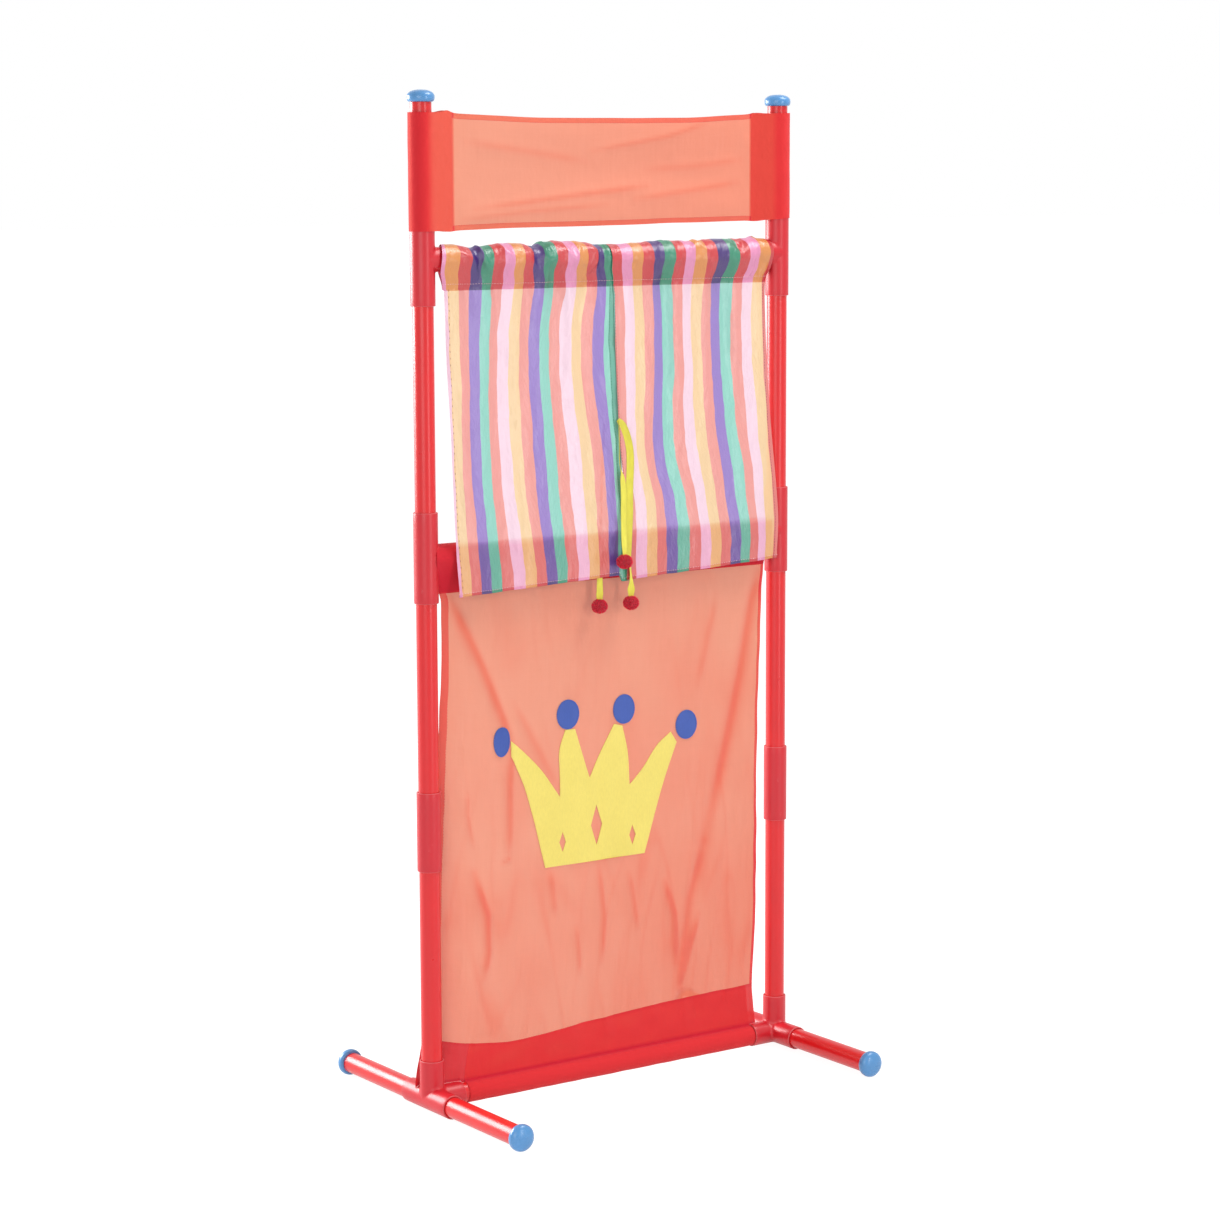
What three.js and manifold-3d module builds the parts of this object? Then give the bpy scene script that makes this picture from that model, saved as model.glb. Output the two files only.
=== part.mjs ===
// Puppet theater stand: a push-together tube frame with a banner, two curtains and a front panel.
// Millimetres, +Z up. The origin is on the floor midway between the posts, and the audience is at -Y.
import * as THREE from 'three';
import { mergeVertices } from 'three/addons/utils/BufferGeometryUtils.js';
import Module from 'manifold-3d';

const wasm = await Module();
wasm.setup();

// The frame as a whole
const standHeight = 1220;
const postSpacing = 524;
const footReach = 204;
const rodDrop = 196;
const windowHeight = 350;

// Tubes and the plastic fittings that they push into
const tubeDiameter = 25;
const tubeWall = 2;
const fittingWall = 1.9;
const slipClearance = 0.3;
const stopLip = 3;
const couplerLength = 96;
const teeLength = 108;
const sideSocketReach = 40;
const baseSocketReach = 48;
const mouthChamfer = 0.9;

// Domed end caps
const capDiameter = 32.7;
const capHeight = 14;
const plugLength = 15;
const plugWall = 1.8;
const plugRib = 0.6;

// Cloth
const clothThickness = 1.2;
const hemThickness = 2;
const clothClearance = 0.45;
const touchGap = 0.3;
const seamHeight = 7;
const settleLength = 24;

// Banner
const bannerDrop = 26;
const bannerRodGap = 33;
const bannerSeamInset = 42;
const bannerEdgeDip = 5;
const bannerRightRise = 9;
const bannerBulge = 1.5;

// Curtains
const curtainTunnelDrop = 35;
const curtainOverlap = 44;
const curtainLowRise = 10;
const slitShift = 8;
const leftCurtainDrift = 20;
const rightCurtainDrift = 16.4;
const curtainDepthAtBar = 20.2;
const leadingHemWidth = 12;
const slitGap = 1.2;
const tunnelPuff = 3.4;
const ruffleDepth = 2.4;
const ruffleLength = 41;
const waveDepth = 1.1;
const waveLength = 83;
const calmMargin = 26;

// Front panel
const panelTunnelDrop = 44;
const panelLeftInset = 15.6;
const panelRightInset = 21;
const panelEdgeInset = 30;
const creaseRise = 5;
const creaseWidth = 16;
const bottomTunnelLeftInset = 50;
const bottomTunnelRightInset = 40.7;
const bottomBandHeight = 60;
const flapWidth = 52;
const flapDepth = 20;
const flapClearance = 3;

// Crown sewn on the panel
const crownWidth = 256;
const crownHeight = 172;
const crownCentre = -22;
const crownLift = 12;
const crownBallWidth = 33;
const crownBallHeight = 37;
const feltThickness = 0.8;
const feltGap = 0.6;

// Ribbon ties with pompoms
const ribbonWidth = 9;
const ribbonThickness = 0.8;
const pompomDiameter = 20;

// Facets
const roundSides = 20;
const pompomDetail = 1;
const overrun = 5;

// Sizes that follow from those above
const tubeRadius = tubeDiameter / 2;
const tubeBore = tubeRadius - tubeWall;
const socketRadius = tubeRadius + slipClearance;
const fittingRadius = socketRadius + fittingWall;
const seatDistance = socketRadius + stopLip;
const postX = postSpacing / 2;
const capRadius = capDiameter / 2;
const footAxis = capRadius;
const rodHeight = standHeight - rodDrop;
const barHeight = rodHeight - windowHeight;
const couplerHeight = (footAxis + barHeight) / 2;
const sleeveRadius = fittingRadius + clothClearance;
const sides = [['left', -1], ['right', 1]];

// Finishes
const finish = {
  tube: new THREE.MeshStandardMaterial({ color: 0xdf3b3f, roughness: 0.28, metalness: 0 }),
  fitting: new THREE.MeshStandardMaterial({ color: 0xd22a36, roughness: 0.33, metalness: 0 }),
  cap: new THREE.MeshStandardMaterial({ color: 0x5f9fdc, roughness: 0.3, metalness: 0 }),
  coral: new THREE.MeshStandardMaterial({ color: 0xf08770, roughness: 0.85, metalness: 0 }),
  stripe: new THREE.MeshStandardMaterial({ color: 0xe7a9b4, roughness: 0.5, metalness: 0 }),
  hem: new THREE.MeshStandardMaterial({ color: 0x5ba58d, roughness: 0.5, metalness: 0 }),
  crown: new THREE.MeshStandardMaterial({ color: 0xf2e070, roughness: 0.9, metalness: 0 }),
  ball: new THREE.MeshStandardMaterial({ color: 0x4c62b4, roughness: 0.9, metalness: 0 }),
  ribbon: new THREE.MeshStandardMaterial({ color: 0xf0de45, roughness: 0.45, metalness: 0 }),
  pompom: new THREE.MeshStandardMaterial({ color: 0xcf1a33, roughness: 0.95, metalness: 0 }),
};

const stand = new THREE.Group();

function addPart(name, geometry, material) {
  const part = new THREE.Mesh(geometry, material);
  part.name = name;
  stand.add(part);
  return part;
}

// A straight-line table of [place, value] pairs, with the places rising
function fromTable(table, place) {
  if (place <= table[0][0]) return table[0][1];
  for (let i = 1; i < table.length; i++) {
    const [from, before] = table[i - 1];
    const [to, after] = table[i];
    if (place <= to) return before + ((after - before) * (place - from)) / (to - from);
  }
  return table[table.length - 1][1];
}

function smoothStep(share) {
  const held = Math.min(Math.max(share, 0), 1);
  return held * held * (3 - 2 * held);
}

// Joins shared corners, drops empty triangles and turns the faces outwards
function closed(geometry) {
  const bare = geometry.clone();
  for (const name of Object.keys(bare.attributes)) {
    if (name !== 'position') bare.deleteAttribute(name);
  }
  const merged = mergeVertices(bare);
  const place = merged.getAttribute('position');
  const corners = [0, 1, 2].map(() => new THREE.Vector3());
  const kept = [];
  let volume = 0;
  for (let i = 0; i < merged.index.count; i += 3) {
    const ids = [0, 1, 2].map((k) => merged.index.getX(i + k));
    if (new Set(ids).size < 3) continue;
    ids.forEach((id, k) => corners[k].fromBufferAttribute(place, id));
    volume += corners[0].dot(new THREE.Vector3().crossVectors(corners[1], corners[2]));
    kept.push(ids);
  }
  merged.setIndex(kept.flatMap(([a, b, c]) => (volume < 0 ? [a, c, b] : [a, b, c])));
  return merged;
}

function solidOf(geometry) {
  const shape = closed(geometry);
  const vertProperties = new Float32Array(shape.getAttribute('position').array);
  const triVerts = new Uint32Array(shape.index.array);
  return new wasm.Manifold(new wasm.Mesh({ numProp: 3, vertProperties, triVerts }));
}

function geometryOf(solid) {
  const { vertProperties, triVerts } = solid.getMesh();
  const geometry = new THREE.BufferGeometry();
  geometry.setAttribute('position', new THREE.Float32BufferAttribute(vertProperties, 3));
  geometry.setIndex(Array.from(triVerts));
  geometry.computeVertexNormals();
  return geometry;
}

function joined(...geometries) {
  const solids = geometries.map(solidOf);
  return solids.reduce((whole, next) => whole.add(next));
}

// Turned shapes: profile points are [radius, height] up +Z, with a flat facet on each row axis
function turned(profile) {
  const points = profile.map(([radius, height]) => new THREE.Vector2(radius, height));
  const geometry = new THREE.LatheGeometry(points, roundSides, Math.PI / roundSides);
  return geometry.rotateX(Math.PI / 2);
}

function pointed(geometry, direction, at) {
  const turn = new THREE.Quaternion().setFromUnitVectors(
    new THREE.Vector3(0, 0, 1), new THREE.Vector3(...direction));
  return geometry.applyQuaternion(turn).translate(...at);
}

// Tubes
function tube(length) {
  return turned([
    [tubeBore, 0], [tubeRadius, 0], [tubeRadius, length], [tubeBore, length], [tubeBore, 0],
  ]);
}

// A fitting is made of runs that cross at its centre. Each open end is a socket with a lip inside
// that stops the tube, and a run with a rear reach is open at both ends
function fitting(runs) {
  const skins = runs.map(({ direction, reach, rearReach = 0 }) => {
    const rim = fittingRadius - mouthChamfer;
    const rear = rearReach > 0
      ? [[0, -rearReach], [rim, -rearReach], [fittingRadius, mouthChamfer - rearReach]]
      : [[0, 0], [fittingRadius, 0]];
    return pointed(turned([
      ...rear, [fittingRadius, reach - mouthChamfer], [rim, reach], [0, reach],
    ]), direction, [0, 0, 0]);
  });
  const hollows = runs.flatMap(({ direction, reach, rearReach = 0 }) => {
    const rear = rearReach > 0
      ? [[0, -rearReach - overrun], [socketRadius, -rearReach - overrun],
        [socketRadius, -seatDistance], [tubeBore, -seatDistance]]
      : [[0, 0], [tubeBore, 0]];
    return pointed(turned([
      ...rear, [tubeBore, seatDistance], [socketRadius, seatDistance],
      [socketRadius, reach + overrun], [0, reach + overrun],
    ]), direction, [0, 0, 0]);
  });
  return joined(...skins).subtract(joined(...hollows));
}

function coupler() {
  const half = couplerLength / 2;
  const lip = stopLip / 2;
  const rim = fittingRadius - mouthChamfer;
  return turned([
    [tubeBore, -lip], [socketRadius, -lip], [socketRadius, -half], [rim, -half],
    [fittingRadius, mouthChamfer - half], [fittingRadius, half - mouthChamfer], [rim, half],
    [socketRadius, half], [socketRadius, lip], [tubeBore, lip], [tubeBore, -lip],
  ]);
}

// A cap: a bun-shaped head over a ribbed hollow plug, with its flange's underside at height 0
const capCorner = capRadius / Math.cos(Math.PI / roundSides);
const capProfileShares = [
  [0.86, 0], [1, 0.2], [1, 0.46], [0.84, 0.78], [0.5, 0.96],
];

function cap() {
  const plug = tubeBore - slipClearance;
  const root = plug - plugRib;
  const bore = root - plugWall;
  const rib = [
    [root, plugRib - plugLength / 2], [plug, -plugLength / 2], [root, -plugRib - plugLength / 2],
  ];
  return turned([
    [0, capHeight],
    ...capProfileShares.map(([r, h]) => [r * capCorner, h * capHeight]).reverse(),
    [root, 0], ...rib, [root, -plugLength], [bore, -plugLength], [bore, -plugRib], [0, -plugRib],
  ]);
}

// The frame: one base fitting, coupler and two tees up each post, with tubes between them
const up = [0, 0, 1];
const front = [0, -1, 0];
const rear = [0, 1, 0];
const seat = seatDistance + touchGap;

for (const [side, sign] of sides) {
  const x = sign * postX;
  const inward = [-sign, 0, 0];
  const teeRuns = [
    { direction: up, reach: teeLength / 2, rearReach: teeLength / 2 },
    { direction: inward, reach: sideSocketReach },
  ];
  const baseRuns = [
    { direction: front, reach: baseSocketReach, rearReach: baseSocketReach },
    { direction: up, reach: baseSocketReach },
    { direction: inward, reach: sideSocketReach },
  ];
  const base = geometryOf(fitting(baseRuns)).translate(x, 0, footAxis);
  addPart(`${side}_base_fitting`, base, finish.fitting);
  addPart(`${side}_post_coupler`, closed(coupler()).translate(x, 0, couplerHeight), finish.fitting);
  for (const [name, height] of [['crossbar_tee', barHeight], ['rod_tee', rodHeight]]) {
    addPart(`${side}_${name}`, geometryOf(fitting(teeRuns)).translate(x, 0, height), finish.fitting);
  }

  const couplerSeat = stopLip / 2 + touchGap;
  const postTubes = [
    ['lower_post_tube', footAxis + seat, couplerHeight - couplerSeat],
    ['middle_post_tube', couplerHeight + couplerSeat, barHeight - seat],
    ['upper_post_tube', barHeight + seat, rodHeight - seat],
    ['top_post_tube', rodHeight + seat, standHeight - capHeight - touchGap],
  ];
  for (const [name, from, to] of postTubes) {
    addPart(`${side}_${name}`, closed(tube(to - from)).translate(x, 0, from), finish.tube);
  }
  const topCap = closed(cap()).translate(x, 0, standHeight - capHeight);
  addPart(`${side}_top_cap`, topCap, finish.cap);

  for (const [name, direction] of [['front', front], ['rear', rear]]) {
    const capFace = footReach - capHeight;
    const foot = pointed(tube(capFace - touchGap - seat), direction,
      [x, direction[1] * seat, footAxis]);
    const end = pointed(cap(), direction, [x, direction[1] * capFace, footAxis]);
    addPart(`${side}_${name}_foot_tube`, closed(foot), finish.tube);
    addPart(`${side}_${name}_foot_cap`, closed(end), finish.cap);
  }
}

const crossTubes = [
  ['bottom_crossbar', footAxis], ['middle_crossbar', barHeight], ['curtain_rod', rodHeight],
];
for (const [name, height] of crossTubes) {
  const length = postSpacing - 2 * seat;
  const bar = pointed(tube(length), [1, 0, 0], [-length / 2, 0, height]);
  addPart(name, closed(bar), finish.tube);
}

const slopeShare = 0.004;

// A sheet of cloth round a middle surface, given as a function of its shares across and down
function sheet(columns, rows, middle, thickness) {
  const step = slopeShare;
  const corners = [];
  for (const side of [1, -1]) {
    for (let j = 0; j <= rows; j++) {
      for (let i = 0; i <= columns; i++) {
        const [across, along] = [i / columns, j / rows];
        const wide = middle(across + step, along).sub(middle(across - step, along));
        const tall = middle(across, along + step).sub(middle(across, along - step));
        const normal = wide.cross(tall).normalize().multiplyScalar((side * thickness) / 2);
        corners.push(...middle(across, along).add(normal).toArray());
      }
    }
  }
  const layer = (columns + 1) * (rows + 1);
  const at = (i, j, side) => side * layer + j * (columns + 1) + i;
  const faces = [];
  const quad = (a, b, c, d) => faces.push(a, b, c, a, c, d);
  for (let j = 0; j < rows; j++) {
    for (let i = 0; i < columns; i++) {
      quad(at(i, j, 0), at(i + 1, j, 0), at(i + 1, j + 1, 0), at(i, j + 1, 0));
      quad(at(i, j, 1), at(i, j + 1, 1), at(i + 1, j + 1, 1), at(i + 1, j, 1));
    }
    quad(at(0, j, 0), at(0, j + 1, 0), at(0, j + 1, 1), at(0, j, 1));
    quad(at(columns, j, 1), at(columns, j + 1, 1), at(columns, j + 1, 0), at(columns, j, 0));
  }
  for (let i = 0; i < columns; i++) {
    quad(at(i, 0, 1), at(i + 1, 0, 1), at(i + 1, 0, 0), at(i, 0, 0));
    quad(at(i, rows, 0), at(i + 1, rows, 0), at(i + 1, rows, 1), at(i, rows, 1));
  }
  const geometry = new THREE.BufferGeometry();
  geometry.setAttribute('position', new THREE.Float32BufferAttribute(corners, 3));
  geometry.setIndex(faces);
  return geometry;
}

// The loop that cloth makes round a tube before its seam: points are (depth, height from the axis),
// with the seam at height -drop and the loop lowered by sag
const loopSteps = 8;

function loopOutline(radius, drop, seamWidth, sag) {
  const tangent = Math.asin(Math.min((radius - seamWidth / 2) / (drop - sag), 1));
  const half = (Math.PI / 2 + tangent) / (loopSteps + 1);
  const ring = radius / Math.cos(half);
  const points = seamWidth > 0 ? [new THREE.Vector2(-seamWidth / 2, -drop)] : [];
  for (let i = 0; i <= loopSteps; i++) {
    const angle = Math.PI + tangent - half - 2 * half * i;
    points.push(new THREE.Vector2(ring * Math.cos(angle), ring * Math.sin(angle) - sag));
  }
  points.push(new THREE.Vector2(seamWidth / 2, -drop));
  return points;
}

function evenShares(count) {
  return Array.from({ length: count + 1 }, (_, i) => i / count);
}

// A sleeve lofts such loops through its stations, which are shares of its length from 0 to 1
function sleeve(stationShares, drop, thickness, shapeAt, place) {
  const stations = stationShares.length - 1;
  const corners = [];
  const faces = [];
  let caps = [];
  let outerCount = 0;
  for (let s = 0; s <= stations; s++) {
    const share = stationShares[s];
    const { radius, sag } = shapeAt(share);
    const outer = loopOutline(radius + thickness, drop, 2 * thickness, sag);
    const inner = loopOutline(radius, drop - seamHeight, 0, sag);
    outerCount = outer.length;
    for (const point of [...outer, ...inner]) corners.push(...place(share, point).toArray());
    if (s === 0) caps = THREE.ShapeUtils.triangulateShape(outer, [inner]);
  }
  const count = corners.length / 3 / (stations + 1);
  const wall = (from, length, flipped) => {
    for (let s = 0; s < stations; s++) {
      for (let i = 0; i < length; i++) {
        const a = s * count + from + i;
        const b = s * count + from + ((i + 1) % length);
        const [c, d] = [b + count, a + count];
        if (flipped) faces.push(a, c, b, a, d, c);
        else faces.push(a, b, c, a, c, d);
      }
    }
  };
  wall(0, outerCount, false);
  wall(outerCount, count - outerCount, true);
  for (const [a, b, c] of caps) {
    const last = stations * count;
    faces.push(a, b, c, last + a, last + c, last + b);
  }
  const geometry = new THREE.BufferGeometry();
  geometry.setAttribute('position', new THREE.Float32BufferAttribute(corners, 3));
  geometry.setIndex(faces);
  return geometry;
}

// Where a sleeve leaves the fitting's socket it settles on the thinner tube
const socketEnd = postX - sideSocketReach;

function sagAlongBar(x) {
  const off = smoothStep((socketEnd - Math.abs(x)) / settleLength);
  return off * (sleeveRadius - tubeRadius - touchGap);
}

// Banner: a sleeve round each post, and between them a sheet whose free edges curve in
const bannerStations = 2;
const bannerColumns = 12;
const bannerRows = 4;

function bannerEdges(x) {
  const inShare = (x + postX) / postSpacing;
  const dip = bannerEdgeDip * smoothStep((postX - Math.abs(x)) / (postX / 3));
  const rise = bannerRightRise * inShare ** 3;
  return {
    top: standHeight - bannerDrop - dip + rise / 3,
    low: rodHeight + bannerRodGap + dip / 2 + rise,
  };
}

function bannerSleeve(sign) {
  const { top, low } = bannerEdges(sign * postX);
  const shapeAt = () => ({ radius: sleeveRadius, sag: 0 });
  const place = (share, point) => new THREE.Vector3(
    sign * (postX + point.y), point.x, low + (top - low) * share);
  return sleeve(evenShares(bannerStations), bannerSeamInset, clothThickness, shapeAt, place);
}

function bannerSheet() {
  const half = postX - bannerSeamInset + seamHeight / 2;
  return sheet(bannerColumns, bannerRows, (across, along) => {
    const x = half * (2 * across - 1);
    const { top, low } = bannerEdges(x);
    const bulge = bannerBulge * Math.sin(Math.PI * across) * Math.sin(Math.PI * 3 * along);
    return new THREE.Vector3(x, -bulge, top + (low - top) * along);
  }, clothThickness);
}

const banner = joined(bannerSleeve(-1), bannerSheet(), bannerSleeve(1));
addPart('banner', geometryOf(banner), finish.coral);

// Curtains: heights and edges. Edge tables hold [share of the drop, share of the drift] pairs
const curtainTop = rodHeight;
const curtainSeam = rodHeight - curtainTunnelDrop;
const curtainBottom = barHeight - curtainOverlap;
const curtainDrop = curtainTop - curtainBottom;
const barSleeveTop = barHeight + fittingRadius + clothClearance + clothThickness;
const curtainSleeveEnd = fittingRadius + 2 * clothClearance;
const slitShares = [[0, -0.5], [0.08, -0.43], [0.29, -0.1], [0.5, 0.41], [0.69, 0.9], [1, 0.83]];
const leftDriftShares = [[0, 0], [0.15, 0.1], [0.42, 0.32], [0.72, 0.62], [1, 1]];
const rightDriftShares = [
  [0, 0.12], [0.07, 0.61], [0.19, 1], [0.32, 0.9], [0.54, 0.43], [0.77, -0.18], [0.87, -0.34],
  [1, -0.18],
];

function dropShare(height) {
  return (curtainTop - height) / curtainDrop;
}

function slitAt(height) {
  return slitShift * fromTable(slitShares, dropShare(height));
}

function outerEdge(sign, height) {
  const drift = sign < 0
    ? leftCurtainDrift * fromTable(leftDriftShares, dropShare(height))
    : rightCurtainDrift * fromTable(rightDriftShares, dropShare(height));
  return sign * (postX - curtainSleeveEnd - drift);
}

function leadingEdge(sign, height) {
  return slitAt(height) + (sign < 0 ? 0 : slitGap);
}

function clothInnerEdge(sign, height) {
  return leadingEdge(sign, height) + sign * (leadingHemWidth + touchGap);
}

// The curtain hangs from its seam behind the rod's front to the front of the middle crossbar
function curtainDepth(height) {
  const share = (curtainSeam - height) / (curtainSeam - barSleeveTop);
  return -curtainDepthAtBar * Math.min(Math.max(share, 0), 1);
}

function curtainFold(x, height) {
  const share = Math.min(Math.max(dropShare(height), 0), 1);
  const calm = smoothStep((Math.abs(x) - leadingHemWidth) / calmMargin);
  const ruffle = ruffleDepth * (1 - share) ** 2 * Math.cos((2 * Math.PI * x) / ruffleLength);
  const wave = waveDepth * Math.cos((2 * Math.PI * x) / waveLength);
  return calm * (ruffle + wave);
}

function curtainMiddle(x, height) {
  return new THREE.Vector3(x, curtainDepth(height) + curtainFold(x, height), height);
}

function tunnelPlace(xAt) {
  return (share, point) => {
    const height = rodHeight + point.y;
    const x = xAt(share, height);
    const hang = Math.min(Math.max(-point.y / curtainTunnelDrop, 0), 1);
    const fold = curtainFold(x, curtainSeam) * hang;
    return new THREE.Vector3(x, point.x + fold, height);
  };
}

const curtainColumns = 18;
const curtainRows = 8;
const hemColumns = 1;
const curtainLowShares = { left: [-0.5, 0.5], right: [-0.2, 1] };

for (const [side, sign] of sides) {
  const across = (share, height) => {
    const [outer, inner] = [outerEdge(sign, height), clothInnerEdge(sign, height)];
    return outer + (inner - outer) * share;
  };
  const shapeAt = (share) => {
    const x = across(share, rodHeight);
    const puff = 0.5 + 0.5 * Math.cos((2 * Math.PI * x) / ruffleLength);
    const held = smoothStep(share * 6) * smoothStep((1 - share) * 6);
    return { radius: sleeveRadius + tunnelPuff * puff * held, sag: sagAlongBar(x) };
  };
  const tunnel = sleeve(evenShares(curtainColumns), curtainTunnelDrop, clothThickness, shapeAt,
    tunnelPlace(across));
  const [lowLeft, lowRight] = curtainLowShares[side].map((share) => share * curtainLowRise);
  const lowAt = (x) => {
    const share = sign < 0 ? 1 + x / postX : x / postX;
    return curtainBottom + lowLeft + (lowRight - lowLeft) * share;
  };
  const seamMiddle = curtainSeam + seamHeight / 2;
  const fall = sheet(curtainColumns, curtainRows, (share, along) => {
    const low = lowAt(across(share, curtainBottom));
    const height = seamMiddle + (low - seamMiddle) * along;
    return curtainMiddle(across(share, height), height);
  }, clothThickness);
  addPart(`${side}_curtain`, geometryOf(joined(tunnel, fall)), finish.stripe);

  // The leading hem slides along the rod and draws the curtain open
  const hemAcross = (share, height) => {
    const edge = leadingEdge(sign, height);
    return edge + sign * leadingHemWidth * (1 - share);
  };
  const hemLoop = sleeve(evenShares(hemColumns), curtainTunnelDrop, clothThickness,
    () => ({ radius: sleeveRadius, sag: sagAlongBar(0) }), tunnelPlace(hemAcross));
  const hemFall = sheet(hemColumns, curtainRows, (share, along) => {
    const height = seamMiddle + (curtainBottom - seamMiddle) * along;
    return curtainMiddle(hemAcross(share, height), height);
  }, hemThickness);
  addPart(`${side}_curtain_leading_hem`, geometryOf(joined(hemLoop, hemFall)), finish.hem);
}

// Front panel: a sleeve round each crossbar and a sheet between them. Edge tables hold
// [share of the panel's height up from the floor, share of the inset] pairs
const panelTop = barHeight - panelTunnelDrop;
const panelLeftShares = [
  [0, -0.37], [0.06, -0.37], [0.16, 0], [0.35, 0.27], [0.5, 0.43], [0.62, 0.63], [0.74, 0.87],
  [1, 1],
];
const panelRightShares = [
  [0, 1.13], [0.13, 1.22], [0.27, 1.1], [0.46, 1.05], [0.64, 1], [0.82, 0.89], [1, 0.69],
];
const bandTopShares = [
  [-0.98, 1.12], [-0.72, 0.94], [-0.55, 0.87], [-0.15, 0.98], [0.4, 1.1], [0.86, 1.14],
];

// Soft creases: the ends are in shares of the post distance and of the panel's height
const creaseShares = [
  { from: [-0.9, 0.98], to: [-0.58, 0.7], depth: 1 },
  { from: [-0.58, 0.7], to: [-0.58, 0.42], depth: 0.8 },
  { from: [0.8, 0.8], to: [0.56, 0.45], depth: -0.8 },
  { from: [0.56, 0.45], to: [0.52, 0.22], depth: -0.8 },
  { from: [-0.04, 0.42], to: [-0.04, 0.2], depth: 0.6 },
  { from: [0.3, 0.42], to: [0.3, 0.18], depth: 0.7 },
  { from: [-0.7, 0.46], to: [-0.7, 0.2], depth: 0.8 },
];

function creaseDepth(crease, x, height) {
  const start = new THREE.Vector2(crease.from[0] * postX, crease.from[1] * panelTop);
  const end = new THREE.Vector2(crease.to[0] * postX, crease.to[1] * panelTop);
  const line = end.clone().sub(start);
  const off = new THREE.Vector2(x, height).sub(start);
  const along = Math.min(Math.max(off.dot(line) / line.lengthSq(), 0), 1);
  const away = off.sub(line.multiplyScalar(along)).length() / creaseWidth;
  return crease.depth * creaseRise * Math.exp(-away * away);
}

function bandTop(x) {
  return footAxis + bottomBandHeight * fromTable(bandTopShares, x / postX);
}

function panelEdge(sign, height) {
  const shares = sign < 0 ? panelLeftShares : panelRightShares;
  return sign * (postX - panelEdgeInset * fromTable(shares, height / panelTop));
}

// The left margin runs back round the post, more so towards the floor
const flapRoot = -(postX - bottomTunnelLeftInset);

function panelDepth(x, height) {
  const fromTop = (panelTop - height) / (3 * seamHeight);
  const fade = Math.min(1, fromTop, (height - footAxis) / bottomBandHeight);
  const folds = creaseShares.reduce((sum, crease) => sum + creaseDepth(crease, x, height), 0);
  const low = smoothStep((1 - height / panelTop) * 2);
  const back = low * flapDepth * smoothStep((flapRoot - x) / flapWidth);
  return -folds * Math.max(fade, 0) + back;
}

function panelPoint(across, height) {
  const [left, right] = [panelEdge(-1, height), panelEdge(1, height)];
  const x = left + (right - left) * across;
  return new THREE.Vector3(x, panelDepth(x, height), height);
}

const panelColumns = 26;
const panelRows = 10;
const panelStations = 5;
const flapColumns = 4;
const flapRows = 2;

function panelSleeve(fromX, toX, axisHeight, radius, dropAt, upward) {
  const xAt = (share) => fromX + (toX - fromX) * share;
  const base = dropAt(0);
  const settled = socketEnd - settleLength;
  const middles = evenShares(panelStations).map((share) => settled * (2 * share - 1));
  const stations = [fromX, -socketEnd, ...middles, socketEnd, toX]
    .filter((x) => x >= fromX && x <= toX);
  return sleeve(stations.map((x) => (x - fromX) / (toX - fromX)), base, clothThickness,
    (share) => ({ radius, sag: upward ? 0 : sagAlongBar(xAt(share)) }),
    (share, point) => {
      const x = xAt(share);
      const seamShare = Math.min(Math.max(-point.y / base, 0), 1);
      const stretch = seamShare * (dropAt(x) - base);
      const height = upward ? -point.y + stretch : point.y;
      return new THREE.Vector3(x, point.x, axisHeight + height);
    });
}

const topSleeve = panelSleeve(-postX + panelLeftInset, postX - panelRightInset, barHeight,
  sleeveRadius, () => panelTunnelDrop, false);
const bottomSleeve = panelSleeve(flapRoot, postX - bottomTunnelRightInset, footAxis,
  tubeRadius + touchGap, (x) => bandTop(x) - footAxis, true);
const panelSheet = sheet(panelColumns, panelRows, (across, along) => {
  const top = panelTop + seamHeight / 2;
  const x = panelPoint(across, bottomBandHeight).x;
  const low = bandTop(x) - seamHeight / 2;
  return panelPoint(across, top + (low - top) * along);
}, clothThickness);

// The corner of the bottom band that isn't threaded on the crossbar hangs behind the post
const flapLow = footAxis + fittingRadius + flapClearance;
const flap = sheet(flapColumns, flapRows, (across, along) => {
  const top = bottomBandHeight + seamHeight;
  const height = top + (flapLow - top) * along;
  const left = panelEdge(-1, height);
  const x = left + (flapRoot + seamHeight - left) * across;
  return new THREE.Vector3(x, panelDepth(x, Math.max(height, bottomBandHeight)), height);
}, hemThickness);
addPart('front_panel', geometryOf(joined(topSleeve, panelSheet, bottomSleeve, flap)), finish.coral);

// Crown: an outline in shares of its width from its centre line and of its height from its base
const crownOutlineShares = [
  [-0.29, 0], [0.29, 0], [0.375, 0.3], [0.47, 0.62], [0.485, 0.86], [0.37, 0.79], [0.28, 0.63],
  [0.205, 0.52], [0.195, 0.76], [0.165, 0.96], [0.115, 0.98], [0.04, 0.8], [-0.03, 0.61],
  [-0.075, 0.8], [-0.115, 0.98], [-0.17, 0.98], [-0.205, 0.84], [-0.205, 0.68], [-0.205, 0.5],
  [-0.31, 0.71], [-0.41, 0.86], [-0.485, 0.95], [-0.485, 0.84], [-0.41, 0.62], [-0.345, 0.32],
];
const crownDiamondShares = [
  { centre: [-0.19, 0.17], half: [0.019, 0.075] },
  { centre: [0.01, 0.26], half: [0.034, 0.15] },
  { centre: [0.22, 0.15], half: [0.019, 0.075] },
];
const crownBallShares = [[-0.535, 0.95], [-0.155, 1.09], [0.175, 1.08], [0.55, 0.91]];

const crownBase = (panelTop + footAxis + bottomBandHeight - crownHeight) / 2 + crownLift;

function crownPoint([across, height]) {
  return new THREE.Vector2(crownCentre + across * crownWidth, crownBase + height * crownHeight);
}

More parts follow.
